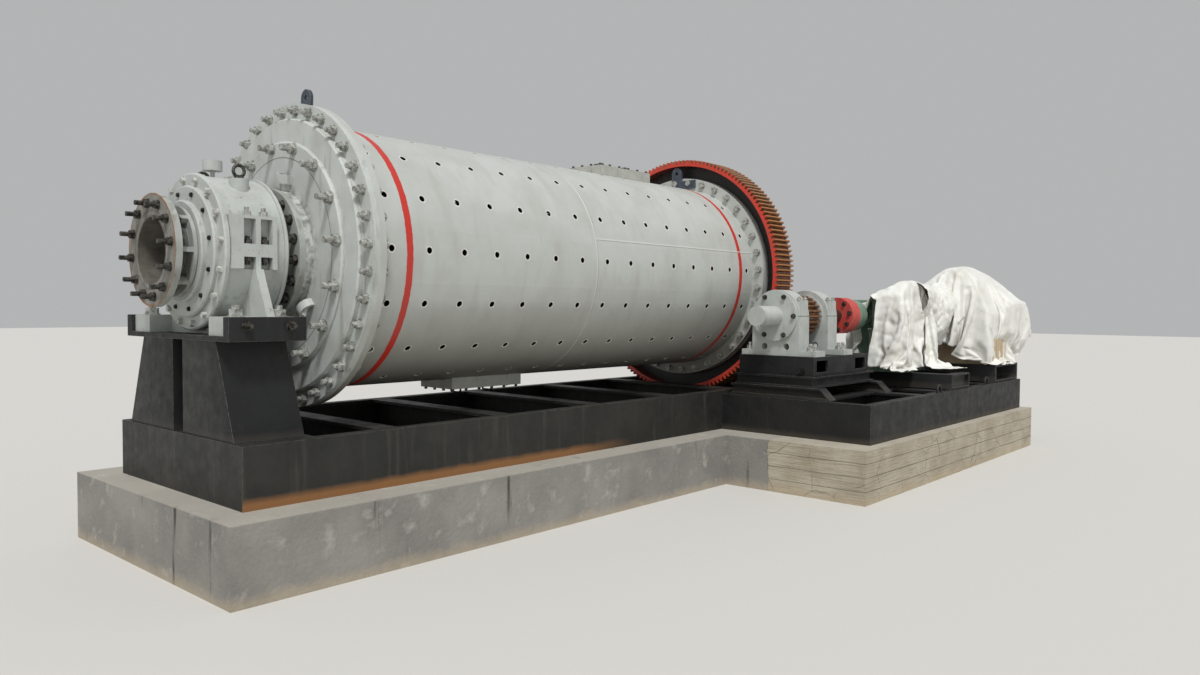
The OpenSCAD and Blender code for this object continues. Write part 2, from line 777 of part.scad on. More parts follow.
module bearing_cap() {
    top = axis_z + housing_r;
    color("silver") difference() {
        union() {
            bearing_half(axis_z - housing_d, axis_z);
            both_sides() translate([mid_x, eye_boss_y, axis_z + journal_d / 2 + housing_d / 8])
                cylinder(h = housing_r - journal_d / 2 - housing_d / 8 - eye_boss_drop, d = eye_boss_d,
                    $fn = small_n);
            translate([mid_x + breather_off, 0, top - over])
                cylinder(h = breather_stem + 2 * over, d = breather_stem_d, $fn = small_n);
            translate([mid_x + breather_off, 0, top + breather_stem])
                cylinder(h = breather_h, d = breather_d, $fn = small_n);
        }
        disc(housing_x0 - over, housing_x1 + over, journal_d / 2 + journal_gap);
    }
}

// A stepped cover; its inner rim stays clear of the turning neck
module cover(x, way) {
    r_in = journal_d / 2 + cover_gap;
    ring_x = cover_t + cover_ring_t;
    seal_x = ring_x + seal_t;
    b = cover_bevel;
    points = [
        [r_in, 0], [cover_r, 0], [cover_r, cover_t - b], [cover_r - b, cover_t],
        [cover_ring_d / 2, cover_t], [cover_ring_d / 2, ring_x - b], [cover_ring_d / 2 - b, ring_x],
        [seal_d / 2, ring_x], [seal_d / 2, seal_x - b], [seal_d / 2 - b, seal_x], [r_in, seal_x]];
    color("lightgray") turned([for (p = points) [p[0], x + way * p[1]]]);
}

module pedestal() {
    z0 = main_frame_z1;
    z1 = pedestal_top - pedestal_plate_t;
    x0 = pedestal_x0 + column_inset;
    x1 = pedestal_x1 - column_inset;
    t = column_t;
    color("dimgray") {
        box(pedestal_x0, pedestal_x1, -pedestal_half, pedestal_half, z1, pedestal_top);
        both_sides() box(pedestal_x0, pedestal_x1, pedestal_half - stop_bar_t, pedestal_half,
            pedestal_top - over, foot_z1);
        both_sides() difference() {
            profile_yz(x0, x1, [[column_slot, z0], [column_foot_half, z0],
                [column_top_half, z1 + over], [column_slot, z1 + over]]);
            profile_yz(x0 + t, x1 - t, [[column_slot + t, z0 - over], [column_foot_half - 1.2 * t, z0 - over],
                [column_top_half - 1.2 * t, z1 - t], [column_slot + t, z1 - t]]);
        }
    }
}

module main_plinth() {
    color("rosybrown") box(-plinth_x, plinth_x, -plinth_half, plinth_half, 0, plinth_h);
}

module drive_plinth() {
    x1 = drive_frame_x1 + drive_plinth_tail;
    color("tan") {
        box(drive_frame_x - drive_plinth_lead, x1, drive_frame_y0 - drive_plinth_side, -plinth_half, 0,
            plinth_h);
        box(plinth_x, x1, -plinth_half - over, drive_frame_y1 + drive_plinth_side, 0, plinth_h);
    }
}

// One bay of a welded frame: the room inside, and the opening between the top flanges
module bay(x0, x1, y0, y1, z0, z1) {
    box(x0, x1, y0, y1, z0 + frame_t, z1 - frame_t);
    box(x0 + lip, x1 - lip, y0 + lip, y1 - lip, z0 + frame_t, z1 + over);
}

module main_base_frame() {
    x_end = main_frame_len / 2;
    y_in = main_frame_half - frame_t;
    pitch = (main_frame_len - frame_t) / main_bays;
    deck_x = pedestal_x0 - frame_t;
    color("dimgray") {
        difference() {
            box(-x_end, x_end, -main_frame_half, main_frame_half, plinth_h, main_frame_z1);
            for (i = [1 : main_bays - 2])
                bay(-x_end + frame_t + i * pitch, -x_end + (i + 1) * pitch, -y_in, y_in, plinth_h,
                    main_frame_z1);
            for (side = [0, 1]) mirror([side, 0, 0]) {
                box(x_end - pitch, x_end - frame_t, -y_in, y_in, plinth_h + frame_t, main_frame_z1 - frame_t);
                box(x_end - pitch + lip, deck_x, -y_in + lip, y_in - lip, plinth_h + frame_t,
                    main_frame_z1 + over);
            }
        }
        for (side = [0, 1]) mirror([side, 0, 0]) both_sides()
            box(deck_x, x_end - over, main_frame_half / 2, main_frame_half / 2 + frame_t,
                plinth_h + over, main_frame_z1 - over);
    }
}

module drive_base_frame() {
    y0 = drive_frame_y0 + frame_t;
    y1 = drive_frame_y1 - frame_t;
    marks = [frame_t / 2, cross_1, cross_2, cross_3, drive_frame_len - frame_t / 2];
    color("dimgray") {
        difference() {
            box(drive_frame_x, drive_frame_x1, drive_frame_y0, drive_frame_y1, plinth_h, drive_frame_z1);
            for (i = [0 : 3]) {
                x0 = drive_frame_x + marks[i] + frame_t / 2;
                x1 = drive_frame_x + marks[i + 1] - frame_t / 2;
                bay(x0, x1, y0, drive_beam_y - frame_t / 2, plinth_h, drive_frame_z1);
                bay(x0, x1, drive_beam_y + frame_t / 2, y1, plinth_h, drive_frame_z1);
            }
        }
        lifting_loop(drive_frame_x + loop_1);
        lifting_loop(drive_frame_x + loop_2);
    }
}

module lifting_loop(x) {
    r = (loop_w - loop_d) / 2;
    rise = loop_h - loop_w / 2;
    translate([x, drive_frame_y0 + loop_d, drive_frame_z1]) {
        translate([-r, 0, -over]) cylinder(h = rise + over, d = loop_d, $fn = 24);
        translate([r, 0, -over]) cylinder(h = rise + over, d = loop_d, $fn = 24);
        translate([0, 0, rise]) rotate([90, 0, 0]) difference() {
            rotate_extrude($fn = small_n) translate([r, 0]) circle(d = loop_d, $fn = 24);
            translate([-loop_w, -2 * loop_w, -loop_w]) cube(2 * loop_w);
        }
    }
}

module pinion_cyl(x0, x1, r, n = fine_n) {
    translate([x0, pinion_y, pinion_z]) along_x() cylinder(h = x1 - x0, r = r, $fn = n);
}

module pinion() {
    color("peru") difference() {
        translate([pinion_x0, pinion_y, pinion_z]) along_x() linear_extrude(height = pinion_w)
            polygon(gear_outline(pinion_teeth, mesh_angle + 180 + 180 / pinion_teeth, 4));
        pinion_cyl(pinion_x0 - over, pinion_x1 + over, pinion_shaft_d / 2);
    }
}

module pinion_shaft() {
    color("gray") pinion_cyl(near_housing_x0 + 10, coupling_x1, pinion_shaft_d / 2);
}

module pinion_coupling_half() {
    color("firebrick") difference() {
        pinion_cyl(coupling_x0, coupling_x1, coupling_d / 2);
        pinion_cyl(coupling_x0 - over, coupling_x1 + over, pinion_shaft_d / 2);
    }
}

module reducer_coupling_half() {
    x0 = coupling_x1 + coupling_gap;
    color("seagreen") {
        pinion_cyl(x0, x0 + coupling_back, (coupling_d - coupling_step) / 2);
        pinion_cyl(x0, wrap_x0 + wrap_step - fit, pinion_shaft_d / 2);
    }
}

// A split block bearing; x0 is its end away from the coupling
module pinion_bearing(x0) {
    x1 = x0 + pinion_housing_w;
    lug_in_x = (pinion_housing_w - pinion_lug_len) / 2;
    foot_z1 = sub_base_z1 + pinion_foot_h;
    color("silver") difference() {
        union() {
            pinion_cyl(x0, x1, pinion_round_d / 2);
            translate([0, pinion_y, 0]) {
                box(x0 + lug_in_x, x1 - lug_in_x, -pinion_body_half, pinion_body_half,
                    pinion_z - over, pinion_z + pinion_lug_h);
                box(x0, x1, -pinion_body_half, pinion_body_half, sub_base_z1, pinion_z);
                box(x0, x1, -pinion_foot_near, pinion_foot_far, sub_base_z1, foot_z1);
            }
        }
        pinion_cyl(x0 - over, x1 + over, pinion_shaft_d / 2 + shaft_gap);
        for (side = [-1, 1])
            translate([x0 - over, pinion_y + side * base_hole_y, pinion_z - base_hole_drop]) along_x()
                cylinder(h = pinion_housing_w + 2 * over, d = base_hole_d, $fn = small_n);
    }
}

module shaft_ring(x0, x1, r) {
    color("silver") difference() {
        pinion_cyl(x0, x1, r);
        pinion_cyl(x0 - over, x1 + over, pinion_shaft_d / 2 + cover_gap);
    }
}

module near_pinion_bearing() {
    cover_x0 = near_housing_x0 - pinion_cover_t;
    pinion_bearing(near_housing_x0);
    shaft_ring(near_housing_x1 - over, near_housing_x1 + pinion_seal_t, pinion_seal_d / 2);
    color("silver") {
        pinion_cyl(cover_x0, near_housing_x0 + over, pinion_cover_d / 2);
        pinion_cyl(cover_x0 - shaft_cap_len, cover_x0 + over, shaft_cap_d / 2);
    }
}

module far_pinion_bearing() {
    pinion_bearing(far_housing_x0);
    shaft_ring(far_housing_x0 - pinion_seal_t, far_housing_x0 + over, pinion_seal_d / 2);
    shaft_ring(far_housing_x1 - over, far_housing_x1 + pinion_cover_t, pinion_cover_d / 2);
}

module pinion_sub_base() {
    x0 = sub_base_x0;
    x1 = x0 + sub_base_len;
    y0 = pinion_y - sub_base_near;
    y1 = pinion_y + sub_base_far;
    t = sub_base_t;
    window_z = (sub_base_z0 + sub_base_z1 - window_h) / 2;
    color("dimgray") difference() {
        box(x0, x1, y0, y1, sub_base_z0, sub_base_z1);
        box(x0 + t, x1 - t, y0 + t, y1 - t, sub_base_z0 - over, sub_base_z1 - t);
        for (i = [0, 1])
            box(x0 + window_lead + i * window_pitch, x0 + window_lead + i * window_pitch + window_w,
                y0 - over, y0 + t + over, window_z, window_z + window_h);
    }
}

// The stepped frame of channel bars, and the two cross beams that carry it
module pinion_riser() {
    x1 = step_x0 + step_len;
    y0 = pinion_y - sub_base_near - step_out / 2;
    y1 = pinion_y + sub_base_far + step_out / 2;
    color("dimgray") {
        difference() {
            box(step_x0, x1, y0, y1, step_z0, sub_base_z0);
            box(step_x0 + step_bar, x1 - step_bar, y0 + step_bar, y1 - step_bar, step_z0 - over,
                sub_base_z0 + over);
            box(step_x0 - over, x1 + over, y0 - over, y0 + channel_in, step_z0 + step_t,
                sub_base_z0 - step_t);
            box(step_x0 - over, step_x0 + channel_in, y0 - over, y1 + over, step_z0 + step_t,
                sub_base_z0 - step_t);
            box(x1 - channel_in, x1 + over, y0 - over, y1 + over, step_z0 + step_t, sub_base_z0 - step_t);
        }
        cross_beam(step_x0 - 10);
        cross_beam(x1 + step_out - beam_w);
    }
}

module cross_beam(x) {
    y0 = pinion_y - beam_near;
    y1 = pinion_y + beam_far;
    z1 = step_z0 + over;
    difference() {
        profile_yz(x, x + beam_w, [[y0, drive_frame_z1], [y1, drive_frame_z1], [y1, z1],
            [y0 + beam_run, z1]]);
        for (side_x = [x - over, x + beam_w - channel_in])
            profile_yz(side_x, side_x + channel_in + over, [[y0 + 2 * step_t, drive_frame_z1 + step_t],
                [y1 + over, drive_frame_z1 + step_t], [y1 + over, step_z0 - step_t],
                [y0 + beam_run, step_z0 - step_t]]);
    }
}

module reducer_sub_frame() {
    y1 = pinion_y + reducer_far;
    x1 = reducer_x0 + reducer_frame_len;
    color("dimgray") difference() {
        box(reducer_x0, x1, sub_frame_y0, y1, drive_frame_z1, reducer_z0);
        box(reducer_x0 + step_bar, x1 - step_bar, sub_frame_y0 + step_bar, y1 - step_bar,
            drive_frame_z1 - over, reducer_z0 + over);
        box(reducer_x0 + step_t, x1 - step_t, sub_frame_y0 - over, sub_frame_y0 + channel_in,
            drive_frame_z1 + step_t, reducer_z0 - step_t);
    }
}

module motor_sub_frame() {
    x1 = motor_x0 + motor_frame_len;
    y1 = sub_frame_y0 + motor_frame_w;
    post = frame_flange / 2;
    color("dimgray") difference() {
        box(motor_x0, x1, sub_frame_y0 - 10, y1, drive_frame_z1, motor_z0);
        box(motor_x0 + post, x1 - post, sub_frame_y0 - 10 - over, y1 - frame_t,
            drive_frame_z1 + step_t, motor_z0 - step_t);
    }
}

module reducer() {
    x0 = reducer_x0 - reducer_foot_lead;
    color("seagreen") box(x0, x0 + reducer_foot_len, pinion_y - reducer_near, pinion_y + reducer_far,
        reducer_z0, reducer_z1);
}

module motor() {
    y0 = sub_frame_y0 + 40;
    color("wheat") box(motor_x0 + motor_in, motor_x0 + motor_in + motor_len, y0, y0 + motor_w,
        motor_z0, motor_z0 + motor_bare_h);
}

// The wrapped reducer: one sheet over the casing, down to its foot
module reducer_tarpaulin() {
    l = wrap_x1 - wrap_x0;
    h = reducer_top;
    y0 = pinion_y - reducer_near;
    y1 = pinion_y + wrap_far;
    y_step = pinion_y - coupling_d / 4;
    w = y1 - y0;
    color("whitesmoke") translate([0, 0, reducer_z1]) difference() {
        intersection() {
            profile_xz(y0, y1, [[wrap_x0, 0], [wrap_x0, 0.62 * h], [wrap_x0 + 0.08 * l, 0.83 * h],
                [wrap_x0 + 0.35 * l, 0.965 * h], [wrap_x0 + 0.70 * l, h], [wrap_x0 + 0.88 * l, 0.97 * h],
                [wrap_x1, 0.84 * h], [wrap_x1, 0]]);
            profile_yz(wrap_x0, wrap_x1, [[y0, 0], [y0, 0.88 * h], [y0 + 0.07 * w, h], [y0 + 0.20 * w,
                0.985 * h],
                [y0 + 0.40 * w, 0.84 * h], [y0 + 0.62 * w, 0.74 * h], [y0 + 0.9 * w, 0.70 * h], [y1,
                    0.58 * h], [y1, 0]]);
        }
        box(wrap_x0 - over, wrap_x0 + wrap_step, y_step, y1 + over, -over, h);
    }
}

// The wrapped motor: the hem lifts towards the terminal box and shows the casing
module motor_tarpaulin() {
    x0 = motor_wrap_x0;
    x1 = x0 + motor_wrap_len;
    y0 = sub_frame_y0 + 10;
    y1 = y0 + motor_wrap_w;
    l = motor_wrap_len;
    h = motor_top;
    w = motor_wrap_w;
    bare_x = motor_x0 + motor_in;
    swag_y0 = y0 + 0.38 * w;
    color("whitesmoke") translate([0, 0, motor_z0]) difference() {
        union() {
            intersection() {
                profile_xz(y0, y1, [[x0, 0], [x0, 0.80 * h], [x0 + 0.10 * l, 0.97 * h], [x0 + 0.45 * l, h],
                    [x0 + 0.75 * l, 0.94 * h], [x1, 0.80 * h], [x1, 0]]);
                profile_yz(x0, x1, [[y0, 0], [y0 + 0.03 * w, 0.5 * h], [y0 + 0.21 * w, 0.86 * h],
                    [y0 + 0.38 * w, 0.985 * h], [y0 + 0.46 * w, h], [y0 + 0.55 * w, h], [y0 + 0.84 * w,
                        0.80 * h],
                    [y0 + 0.98 * w, 0.5 * h], [y1, 0]]);
            }
            box(motor_x0 + motor_frame_len + terminal_out - terminal_len,
                motor_x0 + motor_frame_len + terminal_out,
                drive_frame_y0 - terminal_out, y0 + w / 2, terminal_z, terminal_z + terminal_h);
            profile_xz(swag_y0, swag_y0 + swag_w, [[wrap_x1 + fit, swag_z], [wrap_x1 + fit, swag_z + swag_h],
                [x0 + over, swag_z + 1.1 * swag_h], [x0 + over, swag_z + 0.1 * swag_h]]);
        }
        box(bare_x - fit, bare_x + motor_len + fit, y0 + 30 - fit, y0 + 30 + motor_w + fit, -over,
            motor_bare_h + fit);
        profile_xz(y0 - over, y1 + over, [[x0 + 0.20 * l, -over], [x0 + 0.20 * l, 0], [x0 + 0.33 * l,
            0.3 * motor_bare_h],
            [x0 + 0.62 * l, 0.8 * motor_bare_h], [x1 + over, motor_bare_h - over], [x1 + over, -over]]);
    }
}

main_plinth();
drive_plinth();
main_base_frame();
drive_base_frame();
feed_end() pedestal();  // feed_pedestal
pedestal();  // discharge_pedestal
feed_end() bearing_base();  // feed_bearing_base
feed_end() bearing_cap();  // feed_bearing_cap
bearing_base();  // discharge_bearing_base
bearing_cap();  // discharge_bearing_cap
feed_end() cover(housing_x1, 1);  // feed_outer_cover
feed_end() cover(housing_x0, -1);  // feed_inner_cover
cover(housing_x1, 1);  // discharge_outer_cover
cover(housing_x0, -1);  // discharge_inner_cover
shell_plate(strip_row, strip_row + 1);  // shell_strip
shell_plate(plate_row(1), plate_row(2));  // shell_plate_1
shell_plate(plate_row(2), plate_row(3));  // shell_plate_2
shell_plate(plate_row(3), plate_row(4));  // shell_plate_3
shell_plate(plate_row(4), plate_row(5));  // shell_plate_4
shell_plate(plate_row(5), plate_row(6));  // shell_plate_5
feed_end() shell_flange();  // feed_shell_flange
shell_flange();  // discharge_shell_flange
feed_end() head();  // feed_head
head();  // discharge_head
feed_end() trunnion(bore_d);  // feed_trunnion
trunnion(bore_d + bore_step);  // discharge_trunnion
feed_end() lifting_plate(4.6);  // feed_lifting_plate
lifting_plate(-1.5);  // discharge_lifting_plate
girth_gear();
manhole(top_manhole_x);  // top_manhole
translate([0, 0, 2 * axis_z]) mirror([0, 0, 1]) manhole(bottom_manhole_x);  // bottom_manhole
pinion_shaft();
pinion();
pinion_coupling_half();
reducer_coupling_half();
near_pinion_bearing();
far_pinion_bearing();
pinion_sub_base();
pinion_riser();
reducer();
motor();
reducer_sub_frame();
motor_sub_frame();
reducer_tarpaulin();
motor_tarpaulin();
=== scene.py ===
import bpy
import bmesh
import math
from functools import partial
from mathutils import Matrix, Vector, noise


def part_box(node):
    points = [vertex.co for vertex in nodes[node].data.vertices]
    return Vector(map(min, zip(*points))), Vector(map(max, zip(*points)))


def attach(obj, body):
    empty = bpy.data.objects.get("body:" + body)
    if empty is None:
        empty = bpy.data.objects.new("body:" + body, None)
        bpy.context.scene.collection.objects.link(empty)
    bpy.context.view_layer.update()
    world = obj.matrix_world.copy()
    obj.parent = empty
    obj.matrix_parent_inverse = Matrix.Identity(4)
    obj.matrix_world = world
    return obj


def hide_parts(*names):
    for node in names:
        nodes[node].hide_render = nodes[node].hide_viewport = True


# A grinding mill with its gear drive, frames and plinth. Metres: X along the
# drum towards the gear, Y away from the drive side, Z up.
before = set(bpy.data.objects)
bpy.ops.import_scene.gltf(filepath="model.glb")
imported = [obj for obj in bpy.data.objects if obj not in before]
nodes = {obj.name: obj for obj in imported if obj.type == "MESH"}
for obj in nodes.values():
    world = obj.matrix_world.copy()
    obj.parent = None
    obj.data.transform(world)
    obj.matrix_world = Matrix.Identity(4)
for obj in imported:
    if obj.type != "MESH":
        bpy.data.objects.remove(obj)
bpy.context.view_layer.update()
print("stage: frame loaded")

axisZ = 1.972  # height of the drum axis
pinionAxis = Vector((0.0, -1.33984, 1.566))  # the pinion shaft's line


# small tools

def toLinear(code):
    channels = [int(code[i:i + 2], 16) / 255 for i in (1, 3, 5)]
    return [c / 12.92 if c <= 0.04045 else ((c + 0.055) / 1.055) ** 2.4 for c in channels] + [1.0]


# Gives a node's input a number, a colour code, or what another node puts out
def feed(node, name, value):
    socket = node.inputs[name]
    if isinstance(value, bpy.types.Node):
        value = value.outputs[0]
    if isinstance(value, bpy.types.NodeSocket):
        node.id_data.links.new(value, socket)
    elif isinstance(value, str) and value.startswith("#"):
        socket.default_value = toLinear(value)
    else:
        socket.default_value = value


# A kind without a family name in front is one of the shader's
def addNode(tree, kind, inputs=None, **settings):
    whole = kind.startswith(("Geometry", "Function", "NodeGroup"))
    node = tree.nodes.new(kind if whole else "ShaderNode" + kind)
    for name, value in settings.items():
        setattr(node, name, value)
    for name, value in (inputs or {}).items():
        if name in ("From", "To"):  # the two ends of a range
            feed(node, name + " Min", value[0])
            feed(node, name + " Max", value[1])
        else:
            feed(node, name, value)
    return node


def newObject(name, mesh, finish=None):
    thing = bpy.data.objects.new(name, mesh)
    bpy.context.scene.collection.objects.link(thing)
    if finish is not None:
        mesh.materials.clear()
        mesh.materials.append(finish)
    return thing


# Runs an object's modifiers and keeps the result as its plain mesh
def keepResult(thing):
    graph = bpy.context.evaluated_depsgraph_get()
    mesh = bpy.data.meshes.new_from_object(thing.evaluated_get(graph))
    thing.modifiers.clear()
    thing.data = mesh
    mesh.name = thing.name


# The small round that an edge of plate or casting has
def roundEdges(thing, radius):
    bevel = thing.modifiers.new("edges", "BEVEL")
    bevel.width = radius
    bevel.segments = 2
    bevel.limit_method = "ANGLE"
    bevel.angle_limit = math.radians(40)


def smoothFaces(mesh):
    mesh.polygons.foreach_set("use_smooth", [True] * len(mesh.polygons))


# Adds a box between two corners to a mesh that is being made
def addBox(work, low, high):
    for point in bmesh.ops.create_cube(work, size=1.0)["verts"]:
        point.co = [low[k] + (point.co[k] + 0.5) * (high[k] - low[k]) for k in range(3)]


# Ends the making of a mesh
def meshFrom(work, name):
    mesh = bpy.data.meshes.new(name)
    work.to_mesh(mesh)
    work.free()
    return mesh


# patterns that several finishes share: spot is the place on the object, and
# each gives a mask from 0 to 1

# Soft patches, as dust and old touch-ups leave them
def patches(spot, sizeMm, low, high):
    add = partial(addNode, spot.id_data)
    cloud = add("TexNoise", {"Vector": spot, "Scale": 1000 / sizeMm, "Detail": 5.0, "Roughness": 0.6})
    return add("MapRange", {"Value": cloud, "From": (low, high)})


# Runs of rain and oil: long upright patches
def runs(spot, widthMm, low, high):
    add = partial(addNode, spot.id_data)
    squeeze = add("Mapping", {"Vector": spot, "Scale": (1.0, 1.0, 0.09)})
    cloud = add("TexNoise", {"Vector": squeeze, "Scale": 1000 / widthMm, "Detail": 4.0})
    return add("MapRange", {"Value": cloud, "From": (low, high)})


# Edges where the paint is rubbed off, broken up by a 22 mm pattern
def rubbedEdges(spot, widthMm, amount):
    add = partial(addNode, spot.id_data)
    rounded = add("Bevel", {"Radius": widthMm / 1000}, samples=4)
    surface = add("NewGeometry")
    same = add("VectorMath", {0: rounded, 1: surface.outputs["Normal"]}, operation="DOT_PRODUCT")
    edge = add("MapRange", {"Value": same.outputs["Value"], "From": (0.985, 0.90)})
    broken = add("TexNoise", {"Vector": spot, "Scale": 1000 / 22, "Detail": 5.0})
    gate = add("MapRange", {"Value": broken, "From": (0.62 - amount * 0.3, 0.66 - amount * 0.25)})
    return add("Math", {0: edge, 1: gate}, operation="MULTIPLY")


# Distance from the drum's axis, and the place's parts from that axis
def fromDrumAxis(spot):
    add = partial(addNode, spot.id_data)
    moved = add("Mapping", {"Vector": spot, "Location": (0.0, 0.0, -axisZ)})
    parts = add("SeparateXYZ", {"Vector": moved})
    flat = add("VectorMath", {0: moved, 1: (0.0, 1.0, 1.0)}, operation="MULTIPLY")
    length = add("VectorMath", {0: flat}, operation="LENGTH")
    return length.outputs["Value"], parts


# A band of 1 where value lies between two places, with soft sides
def between(value, low, high, soft):
    add = partial(addNode, value.id_data)
    rise = add("MapRange", {"Value": value, "From": (low - soft, low + soft)})
    fall = add("MapRange", {"Value": value, "From": (high + soft, high - soft)})
    return add("Math", {0: rise, 1: fall}, operation="MULTIPLY")


# Lays one colour over another where every mask is 1
def coatOver(under, over, mask, *others):
    add = partial(addNode, mask.id_data)
    for other in others:
        mask = add("Math", {0: mask, 1: other}, operation="MULTIPLY")
    return add("Mix", {"Factor": mask, 6: under, 7: over}, data_type="RGBA").outputs[2]


def startFinish(name, metallic, roughness):
    material = bpy.data.materials.new(name)
    material.use_nodes = True
    add = partial(addNode, material.node_tree)
    shader = material.node_tree.nodes["Principled BSDF"]
    feed(shader, "Metallic", metallic)
    feed(shader, "Roughness", roughness)
    return material, add, shader, add("TexCoord").outputs["Object"]


# Fine relief from a noise, in real millimetres
def relief(shader, spot, sizeMm, depthMm, detail=3.0):
    add = partial(addNode, spot.id_data)
    grain = add("TexNoise", {"Vector": spot, "Scale": 1000 / sizeMm, "Detail": detail})
    bump = add("Bump", {"Height": grain, "Strength": 1.0, "Distance": depthMm / 1000})
    feed(shader, "Normal", bump)
    return bump


# finishes

# Machine enamel: alkyd paint sprayed over rolled and cast steel. Satin, with
# dust in soft patches, runs below the bolts and paint rubbed off the edges.
def machineEnamel(name, tone):
    material, add, shader, spot = startFinish(name, 0.0, tone["roughness"])
    colour = coatOver(tone["paint"], tone["dust"], patches(spot, tone["patchMm"], 0.42, 0.70))
    colour = coatOver(colour, tone["grime"], runs(spot, tone["runMm"], tone["runLow"], 0.80))
    if "footColour" in tone:  # dust thrown up from the ground, on the drive's side and up to footEndX
        footZ, fade, endX = tone["footZ"], tone["footFade"], tone["footEndX"]
        parts = add("SeparateXYZ", {"Vector": spot})
        wave = patches(spot, 180, 0.2, 0.8)
        lift = add("Math", {0: wave, 1: -fade * 0.8, 2: parts.outputs["Z"]}, operation="MULTIPLY_ADD")
        low = add("MapRange", {"Value": lift, "From": (footZ + fade, footZ - fade * 0.4)})
        near = add("MapRange", {"Value": parts.outputs["X"], "From": (endX + 0.8, endX)})
        outer = add("Math", {0: parts.outputs["Y"], 1: tone["footOutsideY"]}, operation="LESS_THAN")
        colour = coatOver(colour, tone["footColour"], low, near, outer)
    colour = coatOver(colour, tone["worn"], rubbedEdges(spot, tone["edgeMm"], tone["rubbed"]))
    feed(shader, "Base Color", colour)
    dull = patches(spot, 90, 0.3, 0.75)
    satin = {"Value": dull, "To": (tone["roughness"] - 0.06, tone["roughness"] + 0.2)}
    feed(shader, "Roughness", add("MapRange", satin))
    relief(shader, spot, 7.0, 0.35)
    return material


# The drum's own enamel: the same grey, with a brushed red band near each end,
# chipped rims round the liner bolt holes, weld beads under the paint and a
# dark rubber lining inside.
def shellEnamel():
    look = {
        "paint": "#BABDB8", "dust": "#ADAFA9", "grime": "#98958C", "under": "#7F7B70",
        "band": "#BE3227", "bandAt": (-1.957, 1.995), "bandWide": 0.052, "bandWander": 0.012,
        "rim": "#CFCEC6", "lining": "#141210", "liningR": 0.915, "bead": "#D6D5CE", "beadWide": 0.014,
        "pitch": 0.3, "rows": 16, "firstRow": 2.3, "rowsEnd": 2.17, "holeR": 0.022, "shellR": 0.92,
        "seamX": -0.12, "seamEnd": 2.2, "seamAngle": 13.7,
    }
    material, add, shader, spot = startFinish("light_grey_shell_enamel", 0.0, 0.40)
    radius, parts = fromDrumAxis(spot)
    along = parts.outputs["X"]
    colour = coatOver(look["paint"], look["dust"], patches(spot, 420, 0.40, 0.72))
    squeeze = add("Mapping", {"Vector": spot, "Scale": (1.0, 0.25, 0.25)})
    thin = add("TexNoise", {"Vector": squeeze, "Scale": 9.0, "Detail": 6.0})
    streak = add("MapRange", {"Value": thin, "From": (0.52, 0.78), "To Max": 0.35})
    colour = coatOver(colour, look["grime"], streak)
    # painted shade: the colour darkens from the drum's side towards its underside
    paintedBellyShade = add("MapRange", {"Value": parts.outputs["Z"], "From": (-0.30, -0.92), "To Max": 0.9})
    colour = coatOver(colour, look["under"], paintedBellyShade)
    # the brushed bands, a little uneven at their sides
    wobble = add("TexNoise", {"Vector": spot, "Scale": 26.0, "Detail": 3.0})
    shifted = add("Math", {0: wobble, 1: look["bandWander"], 2: along}, operation="MULTIPLY_ADD")
    for at in look["bandAt"]:
        middle, half = at + look["bandWander"] / 2, look["bandWide"] / 2
        colour = coatOver(colour, look["band"], between(shifted, middle - half, middle + half, 0.0025))
    # distance to the nearest liner bolt hole, folded into one cell
    angle = add("Math", {0: parts.outputs["Y"], 1: parts.outputs["Z"]}, operation="ARCTAN2")
    step = 2 * math.pi / look["rows"]
    turned = add("Math", {0: angle, 1: -math.radians(look["firstRow"]) + 64 * step}, operation="ADD")
    cell = add("Math", {0: turned, 1: step / 2}, operation="PINGPONG")
    arc = add("Math", {0: cell, 1: look["shellR"]}, operation="MULTIPLY")
    shiftX = add("Math", {0: along, 1: 20 * look["pitch"]}, operation="ADD")
    cellX = add("Math", {0: shiftX, 1: look["pitch"] / 2}, operation="PINGPONG")
    inCell = add("CombineXYZ", {"X": arc, "Y": cellX})
    away = add("VectorMath", {0: inCell}, operation="LENGTH")
    ragged = add("TexNoise", {"Vector": spot, "Scale": 70.0, "Detail": 4.0})
    edge = add("Math", {0: ragged, 1: -0.022, 2: away.outputs["Value"]}, operation="MULTIPLY_ADD")
    inRows = between(along, -look["rowsEnd"], look["rowsEnd"], 0.01)
    holeR = look["holeR"]
    rim = add("MapRange", {"Value": edge, "From": (holeR - 0.0015, holeR - 0.0045)})
    colour = coatOver(colour, look["rim"], rim, inRows)
    # inside, where light falls through the holes, the lining is black
    liningR = look["liningR"]
    inside = add("MapRange", {"Value": radius, "From": (liningR + 0.0025, liningR)})
    colour = coatOver(colour, look["lining"], inside)
    # weld beads show through the paint as low ridges
    half = look["beadWide"] / 2
    beadRound = between(along, look["seamX"] - half, look["seamX"] + half, 0.003)
    seam = math.pi / 2 - math.radians(look["seamAngle"])
    halfTurn = 0.0075  # in radians, which is a bead of the same width
    beadLong = between(angle, -seam - halfTurn, -seam + halfTurn, 0.003)
    span = between(along, look["seamX"], look["seamEnd"], 0.004)
    beadPart = add("Math", {0: beadLong, 1: span}, operation="MULTIPLY")
    beads = add("Math", {0: beadRound, 1: beadPart}, operation="MAXIMUM")
    colour = coatOver(colour, look["bead"], beads, 0.55)
    feed(shader, "Base Color", colour)
    bump = relief(shader, spot, 9.0, 0.35)
    ridge = add("Bump", {"Height": beads, "Strength": 1.0, "Distance": 0.004, "Normal": bump})
    # plates rolled by hand are never quite round
    sway = add("TexNoise", {"Vector": spot, "Scale": 2.4, "Detail": 1.0})
    feed(shader, "Normal", add("Bump", {"Height": sway, "Strength": 1.0, "Distance": 0.006, "Normal": ridge}))
    return material


